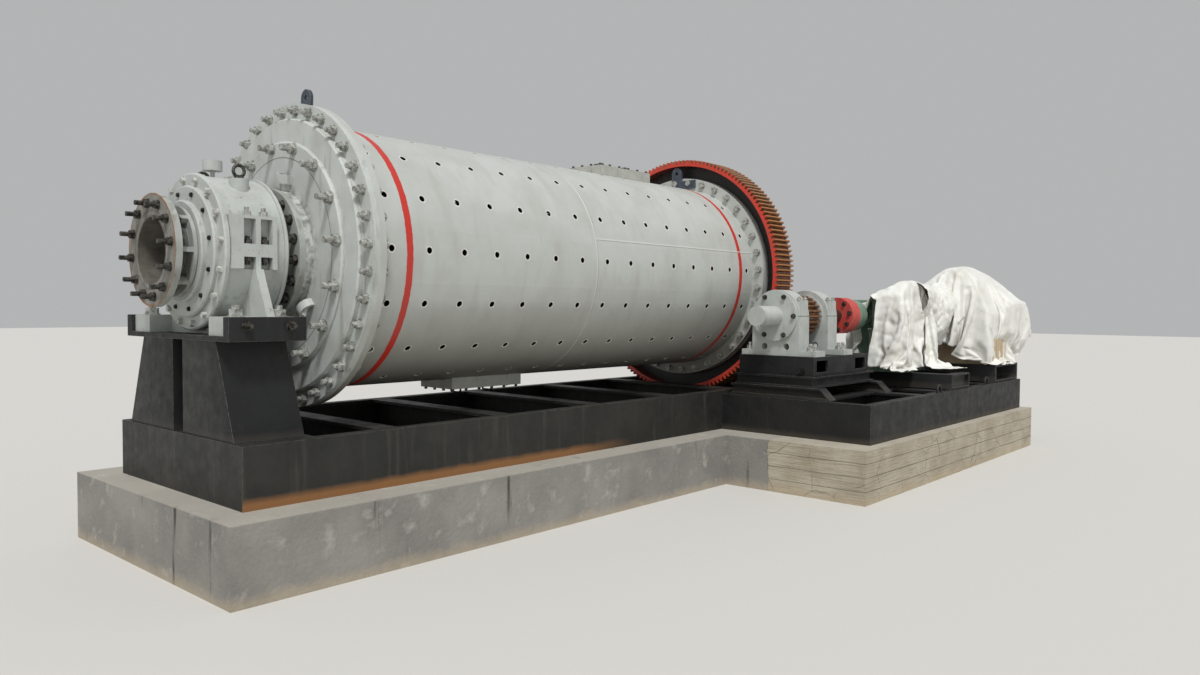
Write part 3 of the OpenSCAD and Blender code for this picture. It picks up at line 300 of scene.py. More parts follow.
# The heads: grey enamel with a painted weld seam and oily smears
def headEnamel():
    look = {"paint": "#BEC2BE", "dust": "#AEB0AA", "grime": "#8A8A82", "seam": "#6C6B64", "seamR": (0.666, 0.672),
            "oil": "#4C4A44", "oilR": (0.34, 0.47), "worn": "#8D877A", "inner": "#2B2925", "innerR": 0.246}
    material, add, shader, spot = startFinish("light_grey_head_enamel", 0.0, 0.45)
    radius = fromDrumAxis(spot)[0]
    colour = coatOver(look["paint"], look["dust"], patches(spot, 260, 0.40, 0.70))
    colour = coatOver(colour, look["grime"], runs(spot, 70, 0.58, 0.80))
    colour = coatOver(colour, look["seam"], between(radius, *look["seamR"], 0.002))
    oily = between(radius, *look["oilR"], 0.05)
    colour = coatOver(colour, look["oil"], oily, patches(spot, 60, 0.42, 0.62))
    colour = coatOver(colour, look["worn"], rubbedEdges(spot, 7, 0.35))
    inner = add("MapRange", {"Value": radius, "From": (look["innerR"] + 0.004, look["innerR"])})
    feed(shader, "Base Color", coatOver(colour, look["inner"], inner))
    relief(shader, spot, 14.0, 0.9)
    return material


# The trunnions: turned steel under grey enamel, the end flange's face dusty
# with rust at its edge, and the bore bare and dark
def trunnionEnamel():
    look = {"paint": "#AAAEA9", "dust": "#92948D", "grime": "#77746B", "faceX": 3.212, "face": "#86857D",
            "faceDust": "#6A675F", "rust": "#8E5A34", "rustR": (0.338, 0.349), "line": "#3D3A35",
            "lineR": (0.243, 0.247), "paintedPocketShade": "#2E2C29", "pocketX": (3.081, 3.170), "pocketR": (0.262, 0.236),
            "bore": "#6B6860", "boreDark": "#4A463F", "boreR": 0.2155, "worn": "#9A9488"}
    material, add, shader, spot = startFinish("dusty_grey_trunnion_enamel", 0.0, 0.55)
    radius, parts = fromDrumAxis(spot)
    reach = add("Math", {0: parts.outputs["X"]}, operation="ABSOLUTE")
    colour = coatOver(look["paint"], look["dust"], patches(spot, 160, 0.38, 0.66))
    colour = coatOver(colour, look["grime"], runs(spot, 45, 0.55, 0.78))
    face = add("MapRange", {"Value": reach, "From": (look["faceX"], look["faceX"] + 0.001)})
    dusty = coatOver(look["face"], look["faceDust"], patches(spot, 90, 0.40, 0.62))
    colour = coatOver(colour, dusty, face)
    rust = between(radius, *look["rustR"], 0.004)
    colour = coatOver(colour, look["rust"], rust, face, patches(spot, 55, 0.36, 0.5))
    colour = coatOver(colour, look["line"], between(radius, *look["lineR"], 0.0015), face)
    # painted shade: in the pocket behind the end flange the colour darkens towards the axis
    paintedPocketShade = between(reach, *look["pocketX"], 0.002)
    shade = add("MapRange", {"Value": radius, "From": look["pocketR"], "To Max": 0.8})
    colour = coatOver(colour, look["paintedPocketShade"], paintedPocketShade, shade)
    bore = add("MapRange", {"Value": radius, "From": (look["boreR"] + 0.001, look["boreR"])})
    bare = coatOver(look["bore"], look["boreDark"], patches(spot, 120, 0.35, 0.65))
    colour = coatOver(colour, bare, bore)
    feed(shader, "Base Color", coatOver(colour, look["worn"], rubbedEdges(spot, 5, 0.35)))
    relief(shader, spot, 10.0, 0.6)
    return material


# Bearings: grey enamel over sand castings, so the surface is slightly rough
def bearingEnamel(name, splitZ=None):
    look = {"paint": "#B7BBB7", "dust": "#A7AAA4", "grime": "#8B8C84", "spots": "#6E6C64", "worn": "#8F8B80",
            "joint": "#2B2925", "jointHalf": 0.0026, "capHalf": 0.2365}
    material, add, shader, spot = startFinish(name, 0.0, 0.46)
    colour = coatOver(look["paint"], look["dust"], patches(spot, 210, 0.40, 0.70))
    colour = coatOver(colour, look["grime"], runs(spot, 42, 0.60, 0.80))
    colour = coatOver(colour, look["spots"], patches(spot, 34, 0.66, 0.74))
    colour = coatOver(colour, look["worn"], rubbedEdges(spot, 5, 0.3))
    if splitZ is not None:  # the dark oily joint between cap and base, on the lugs only
        parts = add("SeparateXYZ", {"Vector": spot})
        joint = between(parts.outputs["Z"], splitZ - look["jointHalf"], splitZ + look["jointHalf"], 0.0008)
        aside = add("Math", {0: parts.outputs["Y"], 1: -pinionAxis.y}, operation="ADD")
        beyond = add("Math", {0: aside}, operation="ABSOLUTE")
        outside = add("Math", {0: beyond, 1: look["capHalf"]}, operation="GREATER_THAN")
        colour = coatOver(colour, look["joint"], joint, outside)
    feed(shader, "Base Color", colour)
    relief(shader, spot, 5.0, 0.7, 4.0)
    return material


# The girth gear: red enamel on the sides, brown grease over the teeth with
# rubbed brass-coloured tips, and near-black painted shade in the recess behind the rim
def gearFinish():
    look = {"red": "#C93A2B", "redDust": "#B5402F", "redDark": "#7C2A20", "grease": "#4B3423", "thin": "#8A5B33",
            "tip": "#A9733F", "paintedRecessShade": "#1C1714", "rimR": 1.1665, "rootR": 1.1940, "tipR": (1.2255, 1.2312),
            "teethX": (2.1855, 2.4805)}
    material, add, shader, spot = startFinish("red_enamel_and_gear_grease", 0.0, 0.42)
    radius, parts = fromDrumAxis(spot)
    colour = coatOver(look["red"], look["redDust"], patches(spot, 150, 0.40, 0.68))
    colour = coatOver(colour, look["redDark"], patches(spot, 38, 0.62, 0.72))
    # painted shade: near black everywhere inside the rim's recess
    paintedRecessShade = add("MapRange", {"Value": radius, "From": (look["rimR"] + 0.002, look["rimR"])})
    colour = coatOver(colour, look["paintedRecessShade"], paintedRecessShade)
    across = between(parts.outputs["X"], *look["teethX"], 0.0012)
    outer = add("MapRange", {"Value": radius, "From": (look["rootR"], look["rootR"] + 0.0025)})
    teeth = add("Math", {0: across, 1: outer}, operation="MULTIPLY")
    oil = coatOver(look["grease"], look["thin"], patches(spot, 45, 0.38, 0.62))
    crown = add("MapRange", {"Value": radius, "From": look["tipR"], "To Max": 0.85})
    oil = coatOver(oil, look["tip"], crown)
    feed(shader, "Base Color", coatOver(colour, oil, teeth))
    feed(shader, "Roughness", add("MapRange", {"Value": teeth, "To": (0.45, 0.30)}))
    relief(shader, spot, 12.0, 0.8)
    return material


# Open gear grease on steel: brown, wet, thin on the flanks
def greasedSteel():
    material, add, shader, spot = startFinish("brown_greased_gear_steel", 0.25, 0.32)
    colour = coatOver("#4A3322", "#8B5E38", patches(spot, 60, 0.36, 0.64))
    colour = coatOver(colour, "#B5814E", rubbedEdges(spot, 4, 0.9))
    feed(shader, "Base Color", coatOver(colour, "#1F1610", patches(spot, 26, 0.62, 0.72)))
    relief(shader, spot, 9.0, 0.8)
    return material


# Turned shaft steel with a film of old oil
def turnedSteel():
    material, add, shader, spot = startFinish("oiled_turned_steel", 0.85, 0.38)
    feed(shader, "Base Color", coatOver("#7B746A", "#4E443A", patches(spot, 70, 0.40, 0.65)))
    squeeze = add("Mapping", {"Vector": spot, "Scale": (1.0, 0.02, 0.02)})
    lines = add("TexNoise", {"Vector": squeeze, "Scale": 400.0, "Detail": 2.0})
    feed(shader, "Normal", add("Bump", {"Height": lines, "Strength": 0.4, "Distance": 0.0004}))
    return material


# Fasteners: zinc-plated steel gone dull, with dark oil round the threads
def plainBolts(name, bright, dark, metallic=0.55):
    material, add, shader, spot = startFinish(name, metallic, 0.46)
    feed(shader, "Base Color", coatOver(bright, dark, patches(spot, 24, 0.42, 0.60)))
    relief(shader, spot, 4.0, 0.4)
    return material


# Concrete: on the drum's side a trowelled cement render with dark splashes,
# on the drive's open side raw and board-marked, with fine cracks
def concrete():
    look = {
        "render": "#918E87", "renderDark": "#767370", "renderLight": "#A5A29A", "raw": "#B5AC9A",
        "rawDark": "#9F9582", "grain": "#8E846F", "splash": "#45433F", "board": 0.118, "boardJoint": "#7A705D",
        "changeY": -1.58, "crack": "#6E6555", "foot": "#B7A78C", "top": "#AFA99C", "topZ": 0.460,
    }
    material, add, shader, spot = startFinish("rendered_and_boarded_concrete", 0.0, 0.88)
    parts = add("SeparateXYZ", {"Vector": spot})
    smooth = coatOver(look["render"], look["renderDark"], patches(spot, 520, 0.36, 0.66))
    smooth = coatOver(smooth, look["renderLight"], patches(spot, 130, 0.56, 0.74))
    smooth = coatOver(smooth, look["splash"], runs(spot, 120, 0.64, 0.72))
    smooth = coatOver(smooth, look["splash"], patches(spot, 16, 0.70, 0.74))
    raw = coatOver(look["raw"], look["rawDark"], patches(spot, 300, 0.36, 0.66))
    grainMap = add("Mapping", {"Vector": spot, "Scale": (1.2, 1.2, 26.0)})
    grain = add("TexNoise", {"Vector": grainMap, "Scale": 3.0, "Detail": 6.0})
    grainMask = add("MapRange", {"Value": grain, "From": (0.48, 0.68), "To Max": 0.6})
    raw = coatOver(raw, look["grain"], grainMask)
    # joints between the shuttering boards
    wander = add("Math", {0: grain, 1: 0.010, 2: parts.outputs["Z"]}, operation="MULTIPLY_ADD")
    joint = add("Math", {0: wander, 1: look["board"] / 2}, operation="PINGPONG")
    line = add("MapRange", {"Value": joint, "From": (0.0035, 0.0005), "To Max": 0.8})
    raw = coatOver(raw, look["boardJoint"], line)
    # cracks: the borders of large cells, broken by noise
    bend = add("TexNoise", {"Vector": spot, "Scale": 5.0, "Detail": 4.0})
    bent = add("Mix", {"Factor": 0.10, 4: spot, 5: bend.outputs["Color"]}, data_type="VECTOR")
    cells = add("TexVoronoi", {"Vector": bent.outputs[1], "Scale": 2.3}, feature="DISTANCE_TO_EDGE")
    crack = add("MapRange", {"Value": cells, "From": (0.010, 0.002), "To Max": 0.85})
    raw = coatOver(raw, look["crack"], crack, patches(spot, 700, 0.46, 0.54))
    side = add("Math", {0: bend, 1: 0.10, 2: parts.outputs["Y"]}, operation="MULTIPLY_ADD")
    change = look["changeY"] + 0.05
    rawSide = add("MapRange", {"Value": side, "From": (change + 0.005, change - 0.005)})
    colour = coatOver(smooth, raw, rawSide)
    splashes = patches(spot, 150, 0.2, 0.8)
    lift = add("Math", {0: splashes, 1: -0.07, 2: parts.outputs["Z"]}, operation="MULTIPLY_ADD")
    sand = add("MapRange", {"Value": lift, "From": (0.05, -0.02), "To Max": 0.5})
    colour = coatOver(colour, look["foot"], sand)
    # painted light: the plinth's top face is drawn lighter than its sides
    paintedTopLight = {"Value": parts.outputs["Z"], "From": (look["topZ"] - 0.008, look["topZ"]), "To Max": 0.55}
    feed(shader, "Base Color", coatOver(colour, look["top"], add("MapRange", paintedTopLight)))
    bump = relief(shader, spot, 26.0, 4.0, 8.0)
    ribs = add("Math", {0: line, 1: rawSide}, operation="MULTIPLY")
    boards = add("Bump", {"Height": ribs, "Strength": 1.0, "Distance": 0.008, "Normal": bump}, invert=True)
    veins = add("Math", {0: grain, 1: rawSide}, operation="MULTIPLY")
    feed(shader, "Normal", add("Bump", {"Height": veins, "Strength": 1.0, "Distance": 0.006, "Normal": boards}))
    return material


# Tarpaulin: woven white polyethylene tape, laminated. Thin, bright and waxy,
# with creases from the roll and a little dust in the folds.
def tarpaulinCloth():
    material, add, shader, spot = startFinish("white_woven_tarpaulin", 0.0, 0.52)
    spot = add("UVMap", uv_map="flat").outputs["UV"]  # the flat cut's own metres
    feed(shader, "Sheen Weight", 0.15)
    feed(shader, "Subsurface Weight", 0.04)
    colour = coatOver("#E4E2DC", "#D2CEC3", patches(spot, 260, 0.44, 0.72))
    feed(shader, "Base Color", coatOver(colour, "#BDB49F", patches(spot, 60, 0.64, 0.78)))
    ridged = {"Vector": spot, "Scale": 5.0, "Detail": 5.0, "Roughness": 0.5}
    fold = add("TexNoise", ridged, noise_type="RIDGED_MULTIFRACTAL")
    crease = add("Bump", {"Height": fold, "Strength": 0.7, "Distance": 0.016})
    # tape spacing is 2.5 mm in life, drawn at 6 mm so that it shows
    weave = add("TexChecker", {"Vector": spot, "Scale": 166.0}).outputs["Fac"]
    feed(shader, "Normal", add("Bump", {"Height": weave, "Strength": 0.15, "Distance": 0.0006, "Normal": crease}))
    return material


usualTone = {"roughness": 0.42, "patchMm": 300, "runMm": 60, "runLow": 0.60, "edgeMm": 6, "rubbed": 0.5,
             "footEndX": 90, "footOutsideY": 90}
blackTone = {"paint": "#0E0F11", "dust": "#171819", "grime": "#272522", "worn": "#6A665E",
             "roughness": 0.52, "patchMm": 380, "rubbed": 0.7, "edgeMm": 4, "footFade": 0.03}
tones = {
    "black": ("black_stand_enamel", {**blackTone, "footColour": "#33302B", "footZ": 0.845, "runLow": 0.62}),
    "mainFrame": ("dusty_black_frame_enamel", {
        **blackTone, "paint": "#1F1F1C", "dust": "#2D2C28", "grime": "#3D3931", "footColour": "#8A6038",
        "footEndX": -0.4, "footOutsideY": -0.866, "footZ": 0.496, "runLow": 0.58}),
    "driveFrame": ("black_drive_frame_enamel", {
        **blackTone, "dust": "#1C1B1A", "footColour": "#37322B", "footZ": 0.48, "runLow": 0.60}),
    "redCoupling": ("red_coupling_enamel", {
        "paint": "#C4453E", "dust": "#B5524A", "grime": "#7E2C26", "worn": "#9A8F86",
        "patchMm": 80, "runMm": 22, "runLow": 0.55, "rubbed": 0.7}),
    "green": ("grey_green_enamel", {
        "paint": "#6C8775", "dust": "#7E8E7F", "grime": "#4A5B4E", "worn": "#A39B8C",
        "patchMm": 90, "runMm": 30, "rubbed": 0.6}),
    "beige": ("beige_motor_enamel", {
        "paint": "#B29C7E", "dust": "#C4B294", "grime": "#7D6B54", "worn": "#8E8474",
        "patchMm": 120, "runMm": 40}),
    "eyePlate": ("blue_black_plate_enamel", {
        "paint": "#39414C", "dust": "#4A505A", "grime": "#262B33", "worn": "#8A8C8C",
        "patchMm": 80, "runMm": 30, "rubbed": 0.7}),
    "manhole": ("grey_manhole_enamel", {
        "paint": "#A9ABA4", "dust": "#B9B8AE", "grime": "#77756B", "worn": "#5F5C55",
        "patchMm": 120, "runMm": 40, "rubbed": 0.6}),
}
finishes = {
    "shell": shellEnamel(),
    "head": headEnamel(),
    "trunnion": trunnionEnamel(),
    "bearing": bearingEnamel("light_grey_bearing_enamel"),
    "pinionBearing": bearingEnamel("light_grey_pinion_bearing_enamel", pinionAxis.z),
    "gear": gearFinish(),
    "grease": greasedSteel(),
    "shaft": turnedSteel(),
    **{key: machineEnamel(name, {**usualTone, **tone}) for key, (name, tone) in tones.items()},
    "greyBolts": plainBolts("dull_grey_bolts", "#B4B6B0", "#7C7B74", 0.2),
    "darkBolts": plainBolts("oily_dark_bolts", "#5C5A55", "#26241F"),
    "whiteBolts": plainBolts("painted_light_bolts", "#C6C8C2", "#96968F", 0.0),
    "blackBolts": plainBolts("black_painted_bolts", "#34332F", "#1C1B19"),
    "concrete": concrete(),
    "tarpaulin": tarpaulinCloth(),
}
# the first part that a node's name holds decides
finishOf = (
    ("plinth", "concrete"), ("main_base", "mainFrame"), ("drive_base", "driveFrame"), ("tarpaulin", "tarpaulin"),
    ("frame", "black"), ("pedestal", "black"), ("sub_base", "black"), ("riser", "black"),
    ("lifting_plate", "eyePlate"), ("manhole", "manhole"), ("shell", "shell"), ("head", "head"),
    ("trunnion", "trunnion"), ("girth_gear", "gear"), ("pinion_bearing", "pinionBearing"), ("bearing", "bearing"),
    ("cover", "bearing"), ("pinion_shaft", "shaft"), ("pinion_coupling", "redCoupling"),
    ("reducer", "green"), ("motor", "beige"), ("pinion", "grease"),
)
print("stage: finishes made")


# CAD nodes: the welded mesh keeps its smooth rounds and crisp edges, and
# boxy parts get the small radius that rolled and ground plate has
edgeRadius = {"pedestal": 0.004, "sub_base": 0.004, "riser": 0.003, "sub_frame": 0.003,
              "reducer": 0.004, "motor": 0.008}


def dressNode(name, thing):
    mesh = thing.data
    if "custom_normal" in mesh.attributes:
        mesh.attributes.remove(mesh.attributes["custom_normal"])
    mesh.materials.clear()
    mesh.materials.append(finishes[next(finish for part, finish in finishOf if part in name)])
    smoothFaces(mesh)
    thing.modifiers.new("weld", "WELD").merge_threshold = 0.00002
    radius = next((r for part, r in edgeRadius.items() if part in name and "tarpaulin" not in name), None)
    if radius is not None:
        roundEdges(thing, radius)
    thing.modifiers.new("crisp", "EDGE_SPLIT").split_angle = math.radians(26)


for nodeName, node in nodes.items():
    dressNode(nodeName, node)
print("stage: CAD nodes dressed")


# light, floor and camera
studio = {
    "floorColour": "#C9C7C2", "floorReach": 60.0, "skyColour": "#F4F5F6", "skyStrength": 0.50,
    "lamps": {"key_light": {"power": 2.5, "spread": 12, "towards": (0.38, 0.44, -0.95)},
              "fill_light": {"power": 0.35, "spread": 60, "towards": (0.8, 0.5, -0.35)}},
}


def makeStage():
    reach = studio["floorReach"]
    corners = [(-reach, -reach, 0), (reach, -reach, 0), (reach, reach, 0), (-reach, reach, 0)]
    mesh = bpy.data.meshes.new("studio_floor")
    mesh.from_pydata(corners, [], [(0, 1, 2, 3)])
    material, add, shader, spot = startFinish("studio_floor_paint", 0.0, 0.9)
    feed(shader, "Base Color", studio["floorColour"])
    newObject("studio_floor", mesh, material)
    world = bpy.data.worlds.new("studio_sky")
    world.use_nodes = True
    sky = world.node_tree.nodes["Background"]
    feed(sky, "Color", studio["skyColour"])
    feed(sky, "Strength", studio["skyStrength"])
    bpy.context.scene.world = world
    for name, lamp in studio["lamps"].items():
        sun = bpy.data.lights.new(name, "SUN")
        sun.energy = lamp["power"]
        sun.angle = math.radians(lamp["spread"])
        newObject(name, sun).rotation_euler = Vector(lamp["towards"]).to_track_quat("-Z", "Y").to_euler()


photoView = {"place": (-5.4622, -5.6912, 1.6441), "yaw": 41.6007, "pitch": -2.0044, "roll": 0.4025,
             "focalPx": 885.45, "widthPx": 1200.0, "sensorMm": 36.0}


def makeCamera():
    camera = bpy.data.cameras.new("photo_camera")
    camera.sensor_width = photoView["sensorMm"]
    camera.lens = photoView["focalPx"] * photoView["sensorMm"] / photoView["widthPx"]
    eye = newObject("photo_camera", camera)
    yaw, pitch, roll = (math.radians(photoView[k]) for k in ("yaw", "pitch", "roll"))
    ahead = Vector((math.cos(yaw) * math.cos(pitch), math.sin(yaw) * math.cos(pitch), math.sin(pitch)))
    right = Vector((math.sin(yaw), -math.cos(yaw), 0))
    up = right.cross(ahead)
    rolledRight = right * math.cos(roll) + up * math.sin(roll)
    rolledUp = up * math.cos(roll) - right * math.sin(roll)
    turn = Matrix((rolledRight, rolledUp, -ahead)).transposed().to_4x4()
    eye.matrix_world = Matrix.Translation(Vector(photoView["place"])) @ turn
    bpy.context.scene.camera = eye


makeStage()
makeCamera()
bpy.context.scene.view_settings.view_transform = "Standard"
print("stage: light and camera set")


# tarpaulins: each sheet falls over a scratch body shaped like the wrapped
# machine, and the scratch bodies go when the sheets have come to rest
tarpaulins = {
    "motor_sheet": {
        "size": (2.44, 2.86), "centre": (5.42, -1.94), "height": 2.21, "rounding": 0.85, "cells": 84,
        "crease": 0.016, "seed": 3.0, "stiff": 0.5, "frames": 50, "held": "draped",
        "pullAt": (5.46, -1.84, 1.40), "pull": 14.0, "crumple": 0.005,
        "restsOn": ["motor", "motor_sub_frame"], "node": "motor_tarpaulin",
        "body": {"voxel": 0.030, "smooth": 6, "inset": 0.014, "waistZ": 1.75, "taper": 0.08, "keepFromX": 5.045}},
    "reducer_sheet": {
        "size": (2.40, 2.30), "centre": (4.06, -1.61), "height": 2.02, "rounding": 0.28, "cells": 84,
        "crease": 0.045, "seed": 7.0, "stiff": 0.3, "frames": 50, "held": "draped",
        "pullAt": (4.05, -1.60, 1.30), "pull": 9.0, "crumple": 0.015, "notch": (3.60, -1.585),
        "restsOn": ["reducer", "reducer_sub_frame"], "node": "reducer_tarpaulin",
        "body": {"voxel": 0.030, "smooth": 3, "inset": 0.020, "waistZ": 1.85, "taper": 0.14}},
    "swag_sheet": {
        "size": (1.36, 1.60), "centre": (4.70, -1.76), "height": 2.03, "rounding": 0.20, "cells": 64,
        "crease": 0.05, "seed": 11.0, "stiff": 0.3, "frames": 38, "held": "gathered",
        "pullAt": (4.70, -1.74, 1.60), "pull": 6.0, "crumple": 0.018,
        "restsOn": ["motor_sheet", "reducer_sheet"]},
}
guards = {"coupling": ((3.19, -1.56, 1.35), (3.606, -1.12, 1.775)),
          "deck": ((3.40, -2.40, 0.93), (6.10, -0.80, 0.992))}


def wrappedBody(name, nodeName, settings):
    body = newObject(name, nodes[nodeName].data.copy())
    work = bmesh.new()
    work.from_mesh(body.data)
    bmesh.ops.remove_doubles(work, verts=work.verts, dist=0.0002)
    low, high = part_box(nodeName)
    startX = low[0]
    if "keepFromX" in settings:
        startX = max(startX, settings["keepFromX"])
        cut = bmesh.ops.bisect_plane(work, geom=work.verts[:] + work.edges[:] + work.faces[:],
                                     plane_co=(startX, 0, 0), plane_no=(-1, 0, 0), clear_outer=True)
        bmesh.ops.holes_fill(work, edges=[e for e in cut["geom_cut"] if isinstance(e, bmesh.types.BMEdge)])
    work.to_mesh(body.data)
    work.free()
    even = body.modifiers.new("even", "REMESH")
    even.mode = "VOXEL"
    even.voxel_size = settings["voxel"]
    soft = body.modifiers.new("soft", "SMOOTH")
    soft.factor = 0.5
    soft.iterations = settings["smooth"]
    inside = body.modifiers.new("inside", "DISPLACE")
    inside.mid_level = 0.0
    inside.strength = -settings["inset"]
    keepResult(body)
    middle = ((startX + high[0]) / 2, (low[1] + high[1]) / 2)
    waistZ = settings["waistZ"]
    for point in body.data.vertices:
        down = min(1.0, max(0.0, (waistZ - point.co.z) / (waistZ - low[2])))
        for axis in (0, 1):
            point.co[axis] += (middle[axis] - point.co[axis]) * settings["taper"] * down
    return body


def makeCollider(thing):
    thing.modifiers.new("collision", "COLLISION")
    thing.collision.thickness_outer = 0.006
    thing.collision.cloth_friction = 18.0
    return thing


# A flat cut of cloth with rounded corners, lightly creased from its roll
def cutSheet(name, cut):
    count, rounding, crease, seed = cut["cells"], cut["rounding"], cut["crease"], cut["seed"]
    halfX, halfY = cut["size"][0] / 2, cut["size"][1] / 2
    points = []
    for j in range(count + 1):
        for i in range(count + 1):
            u, v = 2 * i / count - 1, 2 * j / count - 1
            x = halfX * u * math.sqrt(1 - rounding * v * v / 2)
            y = halfY * v * math.sqrt(1 - rounding * u * u / 2)
            broad = noise.noise(Vector((x * 5 + seed, y * 5, 0.3)))
            fine = noise.noise(Vector((x * 15, y * 15, seed)))
            z = crease * broad + 0.4 * crease * fine
            points.append((cut["centre"][0] + x, cut["centre"][1] + y, cut["height"] + z))
    row = count + 1
    starts = [j * row + i for j in range(count) for i in range(count)]
    faces = [(start, start + 1, start + row + 1, start + row) for start in starts]
    if "notch" in cut:  # cut away above the coupling
        notchX, notchY = cut["notch"]
        faces = [face for face in faces if not (points[face[2]][0] < notchX and points[face[0]][1] > notchY)]
    mesh = bpy.data.meshes.new(name)
    mesh.from_pydata(points, [], faces)
    flat = mesh.uv_layers.new(name="flat")
    for loop in mesh.loops:
        flat.data[loop.index].uv = points[loop.vertex_index][:2]
    if "notch" in cut:
        trim = bmesh.new()
        trim.from_mesh(mesh)
        bmesh.ops.delete(trim, geom=[point for point in trim.verts if not point.link_faces], context="VERTS")
        trim.to_mesh(mesh)
        trim.free()
    return newObject(name, mesh)


# Small sharp creases, as stiff tape cloth keeps from being bundled
def crumpleSheet(mesh, amount):
    normals = [vertex.normal.copy() for vertex in mesh.vertices]
    for vertex, normal in zip(mesh.vertices, normals):
        near, far = noise.voronoi(vertex.co * 7.5)[0][:2]
        fine = noise.voronoi(vertex.co * 17.0)[0][0]
        vertex.co += normal * amount * ((far - near) - 0.35 + 0.35 * (fine - 0.4))


clothSettings = {
    "settings": {"quality": 5, "mass": 0.25, "air_damping": 1.2, "tension_stiffness": 40,
                 "compression_stiffness": 40, "shear_stiffness": 12, "bending_damping": 0.8},
    "collision_settings": {"distance_min": 0.006, "collision_quality": 3, "use_self_collision": True,
                           "self_distance_min": 0.008},
}


def dropSheet(name, cut):
    sheet = cutSheet(name, cut)
    cloth = sheet.modifiers.new("cloth", "CLOTH")
    for group, values in clothSettings.items():
        for key, value in values.items():
            setattr(getattr(cloth, group), key, value)
    cloth.settings.bending_stiffness = cut["stiff"]
    # a weak pull towards the machine's middle keeps the sheet close to it
    bpy.ops.object.effector_add(type="FORCE", location=cut["pullAt"])
    pull = bpy.context.object
    pull.field.strength = -cut["pull"]
    cloth.point_cache.frame_start = 1
    cloth.point_cache.frame_end = cut["frames"]
    for step in range(1, cut["frames"] + 1):
        bpy.context.scene.frame_set(step)
    keepResult(sheet)
    bpy.data.objects.remove(pull)
    bpy.context.scene.frame_set(1)
    smooth = sheet.modifiers.new("rounded", "SUBSURF")
    smooth.levels = smooth.render_levels = 1
    keepResult(sheet)
    crumpleSheet(sheet.data, cut["crumple"])
    thick = sheet.modifiers.new("thickness", "SOLIDIFY")
    thick.thickness = 0.0015
    thick.offset = 0.0
    keepResult(sheet)
    smoothFaces(sheet.data)
    sheet.data.materials.clear()
    sheet.data.materials.append(finishes["tarpaulin"])
    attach(sheet, "stand")
    return sheet


# A box that keeps a falling sheet off, fine enough to collide with
def guardBox(name, low, high):
    work = bmesh.new()
    addBox(work, low, high)
    bmesh.ops.subdivide_edges(work, edges=work.edges[:], cuts=6, use_grid_fill=True)
    return newObject(name, meshFrom(work, name))


bundle = {"startX": 4.06, "length": 1.24, "middleY": -1.74, "middleZ": 1.71, "sag": 0.05, "wide": 0.20,
          "high": 0.19, "wave": 0.03, "rings": 22, "sides": 14}


# The cloth that spans from machine to machine lies over a sagging bundle
def swagBody():
    points, faces, rings, sides = [], [], bundle["rings"], bundle["sides"]
    for i in range(rings):
        t = i / (rings - 1)
        x = bundle["startX"] + t * bundle["length"]
        midZ = bundle["middleZ"] + bundle["sag"] * math.cos(t * 2 * math.pi) + 0.02 * math.sin(9 * t)
        wide = bundle["wide"] + bundle["wave"] * math.sin(11 * t + 1)
        for k in range(sides):
            a = 2 * math.pi * k / sides
            high = bundle["high"] + bundle["wave"] * math.sin(7 * t + k)
            points.append((x, bundle["middleY"] + wide * math.cos(a), midZ + high * math.sin(a)))
    for i in range(rings - 1):
        for k in range(sides):
            here, there = i * sides + k, i * sides + (k + 1) % sides
            faces.append((here, there, there + sides, here + sides))
    faces += [tuple(range(sides)), tuple(reversed(range((rings - 1) * sides, rings * sides)))]
    mesh = bpy.data.meshes.new("swag_body")
    mesh.from_pydata(points, [], faces)
    return newObject("swag_body", mesh)


def drapeTarpaulins():
    scratch = [makeCollider(guardBox(name, *corners)) for name, corners in guards.items()]
    for name, cut in tarpaulins.items():
        shape = wrappedBody(name + "_body", cut["node"], cut["body"]) if "node" in cut else swagBody()
        body = makeCollider(shape)
        sheet = dropSheet(name, cut)
        if "node" in cut:
            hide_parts(cut["node"])
        bpy.data.objects.remove(body)
        print("stage:", name, "draped,", len(sheet.data.polygons), "faces")
    for thing in scratch:
        bpy.data.objects.remove(thing)


drapeTarpaulins()


